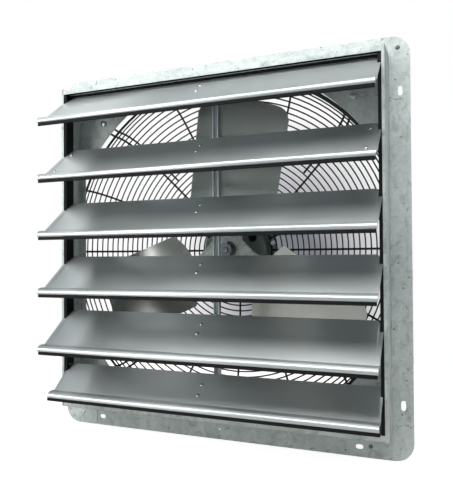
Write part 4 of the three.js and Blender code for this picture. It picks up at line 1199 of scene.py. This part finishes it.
class FAN_OT_guard_bolts(FanOperator, bpy.types.Operator):
    """Bolts, washers and nuts of the guard and the motor mount"""
    bl_idname = "shutter_fan.guard_bolts"
    bl_label = "Bolts"

    def build(self, fan):
        guard, motor = fan.guard, fan.motor
        signs = ((1, 1), (-1, 1), (-1, -1), (1, -1))
        for number, (side, end) in enumerate(signs, 1):
            x, z = side * guard.bolt_x, end * guard.bolt_z
            mesh = bmesh.new()
            hexagon(mesh, x, z, 6.5 * MM, -2.8 * MM, 1.2 * MM)
            disc(mesh, 3 * MM, 0, 16.6 * MM, x, z)
            disc(mesh, 9.5 * MM, 7.4 * MM, 8.6 * MM, x, z)
            hexagon(mesh, x, z, 6.5 * MM, 8.6 * MM, 13.6 * MM)
            name = f"guard_bolt_{number}"
            place_piece(f"{name}_set", mesh, "zinc_plate", "frame", [name])
        plate_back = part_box("motor_mount")[1].y
        for number, (x, z) in enumerate(mount_bolt_places(motor), 1):
            name = f"mount_bolt_{number}"
            low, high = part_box(name)
            mesh = bmesh.new()
            disc(mesh, 5.5 * MM, low.y, low.y + 2 * MM, x, z, steps=24)
            disc(mesh, 2 * MM, low.y + MM, high.y, x, z, steps=16)
            hexagon(mesh, x, z, 4 * MM, plate_back + 0.3 * MM, plate_back + 4.3 * MM)
            place_piece(f"{name}_set", mesh, "zinc_plate", "frame", [name])


# Motor

# Radius and depth of the face of an end bell, from its bore to its shoulder, in millimetres
BELL_FACE = (
    (10, 0.8), (11, 0), (20, 0), (22, 1.2), (40, 1.2), (42, 0),
    (57, 0), (60, 0.6), (62.7, 2), (64.4, 4), (65, 6.5))
# Where the lead leaves the front bell and enters the junction box, in millimetres from the axis
LEAD_EXIT = Vector((40, 26))
LEAD_ENTRY = Vector((86, 54))
# Points of the lead: share of the way between the two, and millimetres behind the motor's front
LEAD_BENDS = (
    (0, 7), (0, -3), (0.065, -10), (0.26, -13), (0.5, -11.5),
    (0.74, -6), (0.914, 3), (0.99, 14), (1, 24), (1, 44))
ENTRY_HOLE = 6.3 * MM


def end_bell(motor, start, way):
    """Profile of a pressed end bell with a rolled shoulder, raised ribs and a bearing cup."""
    radius, sheet = motor.radius, 3 * MM
    inner = radius - sheet
    bore = motor.shaft + 0.3 * MM
    face = [(r * MM, y * MM) for r, y in BELL_FACE]
    inside = [(radius, motor.bell), (inner, motor.bell), (inner, 7 * MM), (radius - 9 * MM, sheet)]
    cup = [(20 * MM, sheet), (20 * MM, 12.7 * MM), (16.3 * MM, 12.7 * MM), (16.3 * MM, sheet)]
    return [(r, start + way * y) for r, y in [(bore, 0.8 * MM), *face, *inside, *cup, (bore, sheet)]]


class FAN_OT_motor(FanOperator, bpy.types.Operator):
    """Motor casing, through bolts and capacitor"""
    bl_idname = "shutter_fan.motor"
    bl_label = "Motor"

    def build(self, fan):
        motor = fan.motor
        for word, start, way in (("front", motor.front, 1), ("rear", motor.back, -1)):
            mesh = bmesh.new()
            turned(mesh, end_bell(motor, start, way), steps=64)
            place_piece(f"{word}_bell_pressing", mesh, "motor_enamel", "frame", [f"{word}_end_bell"])
        self.shell(motor)
        self.through_bolts(motor)
        self.capacitor(motor)

    def shell(self, motor):
        """Rolled shell with a shallow groove near each end."""
        mesh = bmesh.new()
        gap = 0.3 * MM
        low, high = motor.front + motor.bell + gap, motor.back - motor.bell - gap
        inner, outer = motor.radius - 3 * MM, motor.radius
        soft = 0.6 * MM
        end = [(inner, 0), (outer - soft, 0), (outer, soft), (outer, 5 * MM), (outer - soft, 5.6 * MM),
               (outer - soft, 6.6 * MM), (outer, 7.2 * MM)]
        turned(mesh, [(r, low + y) for r, y in end] + [(r, high - y) for r, y in end[::-1]], steps=64)
        place_piece("motor_shell_tube", mesh, "motor_enamel", "frame", ["motor_shell"])

    def through_bolts(self, motor):
        """Nuts of the four through bolts on both bells."""
        mesh = bmesh.new()
        for turn in (0.3, 0.8, 1.3, 1.8):
            x, z = 52 * MM * math.cos(turn * math.pi), 52 * MM * math.sin(turn * math.pi)
            hexagon(mesh, x, z, 4.2 * MM, motor.front - 2.6 * MM, motor.front)
            hexagon(mesh, x, z, 4.2 * MM, motor.back - 3 * MM, motor.back - 0.1 * MM)
        place_piece("through_bolt_nuts", mesh, "zinc_plate", "frame")

    def capacitor(self, motor):
        """Capacitor can with a rolled rim and its clip round it."""
        low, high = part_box("capacitor")
        x, z = (low.x + high.x) / 2, (low.z + high.z) / 2
        radius = motor.capacitor
        mesh = bmesh.new()
        rim = [(0, 3), (0.8, 2.4), (0, 1.6), (0.6, 0), (2.6, 0), (3, 2)]
        profile = [(0, low.y), (radius - 2 * MM, low.y), (radius, low.y + 2 * MM)]
        profile += [(radius - inset * MM, high.y - drop * MM) for inset, drop in rim]
        profile.append((0, high.y - 2 * MM))
        turned(mesh, profile, x, z)
        place_piece("capacitor_can", mesh, "black_enamel", "frame", ["capacitor"])
        clip = bmesh.new()
        middle = (low.y + high.y) / 2
        inner, outer = radius + 0.1 * MM, radius + 0.2 * MM
        front, back = middle - 6 * MM, middle + 6 * MM
        turned(clip, [(inner, front), (outer, front), (outer, back), (inner, back)], x, z)
        place_piece("capacitor_clip", clip, "galvanised_steel", "frame")


class FAN_OT_motor_mount(FanOperator, bpy.types.Operator):
    """Mount plate, junction box with its lid, and the motor's lead"""
    bl_idname = "shutter_fan.motor_mount"
    bl_label = "Motor mount"

    def build(self, fan):
        motor = fan.motor
        low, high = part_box("motor_mount")
        box_low, box_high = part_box("junction_box")
        self.plate(motor, low, high, box_low, box_high)
        self.junction_box(box_low, box_high)
        self.lead(motor)

    def plate(self, motor, low, high, box_low, box_high):
        """Ring plate with a tab under the junction box."""
        mesh = bmesh.new()
        first, last = (math.asin(z / motor.mount) for z in (box_high.z, box_low.z))
        arc = [first + (TURN - first + last) * i / 72 for i in range(73)]
        line = [Vector((math.cos(t), math.sin(t))) * motor.mount for t in arc]
        tab = [line[-1], (box_high.x, box_low.z), (box_high.x, box_high.z), line[0]]
        line += rounded(tab, [0, 4 * MM, 4 * MM, 0], closed=False)[1:-1]
        holes = [circle(0, 0, motor.radius + 0.6 * MM, 64), circle(*LEAD_ENTRY * MM, ENTRY_HOLE)]
        holes += [circle(x, z, 2.3 * MM, 12) for x, z in mount_bolt_places(motor)]
        flat_plate(mesh, line, holes, low.y, high.y, on_y, 0.4 * MM)
        place_piece("motor_mount_plate", mesh, "galvanised_steel", "frame", ["motor_mount"])

    def junction_box(self, low, high):
        """Pressed box with rounded corners, knockouts, and a screwed lid."""
        mesh = bmesh.new()
        wall = 1.5 * MM
        outer = rectangle(low.x, low.z, high.x, high.z, 4 * MM)
        inner = rectangle(low.x + wall, low.z + wall, high.x - wall, high.z - wall, 2.8 * MM)
        flat_plate(mesh, outer, [inner], low.y, high.y, on_y)
        back = rectangle(low.x + MM, low.z + MM, high.x - MM, high.z - MM, 3 * MM)
        flat_plate(mesh, back, [circle(*LEAD_ENTRY * MM, ENTRY_HOLE)], low.y + 0.1 * MM, low.y + wall, on_y)
        middle = (low.y + high.y) / 2
        ring = [(8.6 * MM, 0), (10 * MM, 0), (10 * MM, 0.19 * MM), (8.6 * MM, 0.19 * MM)]
        for z, way in ((high.z, 1), (low.z, -1)):
            for x in (low.x + 22 * MM, high.x - 22 * MM):
                turned(mesh, ring, matrix=facing(x, middle, z - way * 0.2 * MM, way, "X"), steps=28)
        place_piece("junction_box_shell", mesh, "galvanised_steel", "frame", ["junction_box"])
        low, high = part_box("junction_box_lid")
        lid, screws = bmesh.new(), bmesh.new()
        outline = rectangle(low.x, low.z, high.x, high.z, 4 * MM)
        flat_plate(lid, outline, [], low.y, high.y - 0.3 * MM, on_y, 0.5 * MM)
        place_piece("junction_box_cover", lid, "galvanised_steel", "frame", ["junction_box_lid"])
        head = [(0, high.y - 0.4 * MM), (3.4 * MM, high.y - 0.4 * MM), (2.8 * MM, high.y), (0, high.y)]
        for x in (low.x + 8 * MM, high.x - 8 * MM):
            turned(screws, head, x, (low.z + high.z) / 2, steps=20)
        place_piece("junction_box_screws", screws, "zinc_plate", "frame")

    def lead(self, motor):
        """Lead from the front bell through a grommet, back into the junction box."""
        route = []
        for share, depth in LEAD_BENDS:
            spot = LEAD_EXIT.lerp(LEAD_ENTRY, share)
            route.append(Vector((spot.x * MM, motor.front + depth * MM, spot.y * MM)))
        cable = bmesh.new()
        tube(cable, smooth_path(route, 8), motor.lead, 14)
        place_piece("motor_lead_sheath", cable, "black_rubber", "frame", ["motor_lead"])
        bore = motor.lead / MM + 0.2
        self.ring("lead_grommet", LEAD_EXIT, motor.front, [
            (bore, -2), (bore + 1, -2.3), (7.6, -2.3), (9, -1.2), (8.6, -0.3), (7, 0), (7, 3), (bore, 3)])
        low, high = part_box("lead_bushing")
        reach = (high.y - low.y) / MM
        self.ring("lead_bushing", LEAD_ENTRY, low.y, [
            (bore, 0), (7.6, 0), (8.5, 0.8), (8.5, 2), (6, 2.3), (6, reach), (bore, reach)])

    def ring(self, node, spot, start, profile):
        """Rubber ring round the lead, with its profile in millimetres from its start."""
        mesh = bmesh.new()
        profile = [(radius * MM, start + y * MM) for radius, y in profile]
        turned(mesh, profile, spot.x * MM, spot.y * MM, 32)
        place_piece(f"{node}_ring", mesh, "black_rubber", "frame", [node])


class FAN_OT_carried_over(FanOperator, bpy.types.Operator):
    """Gives the CAD pieces that stay their finishes"""
    bl_idname = "shutter_fan.carried_over"
    bl_label = "Carried over pieces"

    def build(self, fan):
        slots = {
            "bearing_strip_left": "black_rubber", "bearing_strip_right": "black_rubber",
            "top_seal": "black_rubber", "stator": "winding_copper", "rotor": "steel",
            "front_bearing": "steel", "rear_bearing": "steel"}
        for node, slot_name in slots.items():
            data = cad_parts[node].data
            data.materials.clear()
            data.materials.append(finish(slot_name))


# Stage

def studio_paper(rgb, lift, mirrored_lift):
    """Matt pale paper: a flat ground that keeps the fan's shadow."""
    material = bpy.data.materials.new("studio_paper")
    material.use_nodes = True
    tree = material.node_tree
    tree.nodes.clear()
    add = partial(add_node, tree)
    light = add("ShaderNodeLightPath")
    seen = add("ShaderNodeMath", (light.outputs["Is Camera Ray"], lift), operation="MULTIPLY")
    mirrored = add("ShaderNodeMath", (light.outputs["Is Glossy Ray"], mirrored_lift), operation="MULTIPLY")
    glow = add("ShaderNodeEmission", {"Strength": add("ShaderNodeMath", (seen, mirrored), operation="ADD")})
    both = add("ShaderNodeAddShader", (add("ShaderNodeBsdfDiffuse", {"Color": opaque(rgb)}), glow))
    add("ShaderNodeOutputMaterial", {"Surface": both})
    return material


def soft_lamp(name, place, aim, width, height, power, spread=180):
    """Soft box; a spread below 180 degrees is a grid on its front."""
    lamp = bpy.data.lights.new(name, "AREA")
    lamp.shape = "RECTANGLE"
    lamp.size, lamp.size_y = width, height
    lamp.energy = power
    lamp.spread = math.radians(spread)
    holder = bpy.data.objects.new(name, lamp)
    holder.location = place
    holder.rotation_euler = (Vector(aim) - Vector(place)).to_track_quat("-Z", "Y").to_euler()
    bpy.context.collection.objects.link(holder)


# Turn round the fan, lift and roll of the camera in degrees, its place in millimetres, and its lens in pixels
CAMERA_TURNS = (21.81, -0.87, -0.37)
CAMERA_PLACE = (419.13, -1004.35, -14.5)
FRAME_HEIGHT = 500
FOCAL_LENGTH = 556.25
AXIS_ROW = 248.65


class FAN_OT_camera(FanOperator, bpy.types.Operator):
    """Camera at the photograph's place"""
    bl_idname = "shutter_fan.camera"
    bl_label = "Camera"

    def build(self, fan):
        turn, lift, roll = (math.radians(value) for value in CAMERA_TURNS)
        back = Vector((math.sin(turn) * math.cos(lift), -math.cos(turn) * math.cos(lift), math.sin(lift)))
        flat = Vector((math.cos(turn), math.sin(turn), 0))
        upright = back.cross(flat)
        right = math.cos(roll) * flat + math.sin(roll) * upright
        up = math.cos(roll) * upright - math.sin(roll) * flat
        data = bpy.data.cameras.new("camera")
        data.sensor_width = 36
        data.lens = FOCAL_LENGTH * data.sensor_width / FRAME_HEIGHT
        data.shift_y = (AXIS_ROW - FRAME_HEIGHT / 2) / FRAME_HEIGHT
        camera = bpy.data.objects.new("camera", data)
        matrix = Matrix((right, up, back)).transposed().to_4x4()
        camera.matrix_world = Matrix.Translation(Vector(CAMERA_PLACE) * MM) @ matrix
        bpy.context.collection.objects.link(camera)
        bpy.context.scene.camera = camera


class FAN_OT_stage(FanOperator, bpy.types.Operator):
    """Pale floor, lamps and the light of the room"""
    bl_idname = "shutter_fan.stage"
    bl_label = "Stage"

    def build(self, fan):
        stage = fan.stage
        low = CAD_BOX[0][2] - 0.5 * MM
        reach = 0.9
        corners = [(x * reach, y * reach, low) for x, y in ((-1, -1), (1, -1), (1, 1), (-1, 1))]
        data = bpy.data.meshes.new("floor")
        data.from_pydata(corners, [], [(0, 1, 2, 3)])
        data.materials.append(studio_paper(stage.paper, lift=0.85, mirrored_lift=0.15))
        floor = bpy.data.objects.new("floor", data)
        bpy.context.collection.objects.link(floor)
        soft_lamp("key_lamp", (0.05, -0.85, 1.35), (0.1, 0, 0.2), 2.3, 0.9, stage.key, 90)
        soft_lamp("side_lamp", (-1.15, -1.2, 0.3), (-0.15, 0, -0.2), 1.2, 0.9, stage.side, 120)
        soft_lamp("front_lamp", (-0.3, -2.2, 0.1), (0, 0, -0.1), 3, 2.2, stage.front)
        soft_lamp("back_lamp", (1.7, 1.5, 0.1), (0, 0.1, 0), 1.4, 1, stage.back)
        soft_lamp("overhead_lamp", (-1.1, 0, 1.4), (-0.3, -0.1, 0), 0.9, 0.5, stage.overhead)
        self.room(stage)
        bpy.context.scene.view_settings.view_transform = "Standard"

    def room(self, stage):
        """White to the eye but for a painted shade behind the fan; dimmer overhead and in front as metal
        mirrors it.
        """
        world = bpy.data.worlds.new("room")
        bpy.context.scene.world = world
        world.use_nodes = True
        world.node_tree.nodes.clear()
        add = partial(add_node, world.node_tree)
        toward = add("ShaderNodeTexCoord").outputs["Generated"]
        split = add("ShaderNodeSeparateXYZ", (toward,))
        rear = add("ShaderNodeMapRange", (split.outputs["Y"], -0.25, 0.35, 0, 1))
        level = add("ShaderNodeMixRGB", (rear, opaque(stage.wall), opaque(stage.behind)))
        height = add("ShaderNodeMath", (split.outputs["Z"],), operation="ABSOLUTE")
        steep = add("ShaderNodeMapRange", (height, 0.3, 0.75, 0, 1))
        mirrored = add("ShaderNodeMixRGB", (steep, level, opaque(stage.ceiling)))
        # Painted shade: an oval round a fixed direction behind the fan is greyed for camera and transmission
        # rays, standing in for the fan's shadow
        oval = add("ShaderNodeVectorMath", (toward, (1, 1, 0.7)), operation="MULTIPLY")
        away = add("ShaderNodeVectorMath", (oval, (-0.26, 0.965, -0.03)), operation="DISTANCE")
        shade = add("ShaderNodeMapRange", (away.outputs["Value"], 0.06, 0.21, 0, 1))
        seen = add("ShaderNodeMixRGB", (shade, opaque(stage.shade), opaque((1, 1, 1))))
        light = add("ShaderNodeLightPath")
        tone = add("ShaderNodeMixRGB", (light.outputs["Is Glossy Ray"], opaque([stage.ambient] * 3), mirrored))
        straight = (light.outputs["Is Camera Ray"], light.outputs["Is Transmission Ray"])
        tone = add("ShaderNodeMixRGB", (add("ShaderNodeMath", straight, operation="MAXIMUM"), tone, seen))
        ground = add("ShaderNodeBackground", {"Color": tone})
        add("ShaderNodeOutputWorld", {"Surface": ground})


OPERATORS = (
    FAN_OT_camera, FAN_OT_wall_box, FAN_OT_louvres, FAN_OT_tie_bar, FAN_OT_blades, FAN_OT_spider, FAN_OT_hub,
    FAN_OT_guard, FAN_OT_guard_bolts, FAN_OT_motor, FAN_OT_motor_mount, FAN_OT_carried_over, FAN_OT_stage)


class FAN_PT_panel(bpy.types.Panel):
    """Lists the fan's pieces and settings"""
    bl_idname = "FAN_PT_panel"
    bl_label = "Shutter fan"
    bl_space_type = "VIEW_3D"
    bl_region_type = "UI"
    bl_category = "Shutter fan"

    def draw(self, context):
        settings = context.scene.shutter_fan
        for operator in OPERATORS:
            self.layout.operator(operator.bl_idname)
        for group in ("box", "louvre", "fan", "guard", "motor", "finish", "stage"):
            part = getattr(settings, group)
            column = self.layout.box().column()
            for name in part.__annotations__:
                column.prop(part, name)


CLASSES = (
    BoxSizes, LouvreSizes, FanSizes, GuardSizes, MotorSizes, FanFinishes, StageSettings, ShutterFan,
    *OPERATORS, FAN_PT_panel)


def register():
    for cls in CLASSES:
        bpy.utils.register_class(cls)
    bpy.types.Scene.shutter_fan = PointerProperty(type=ShutterFan)


def unregister():
    del bpy.types.Scene.shutter_fan
    for cls in reversed(CLASSES):
        bpy.utils.unregister_class(cls)


def main():
    register()
    for operator in OPERATORS:
        group, name = operator.bl_idname.split(".")
        getattr(getattr(bpy.ops, group), name)()


if __name__ == "__main__":
    main()
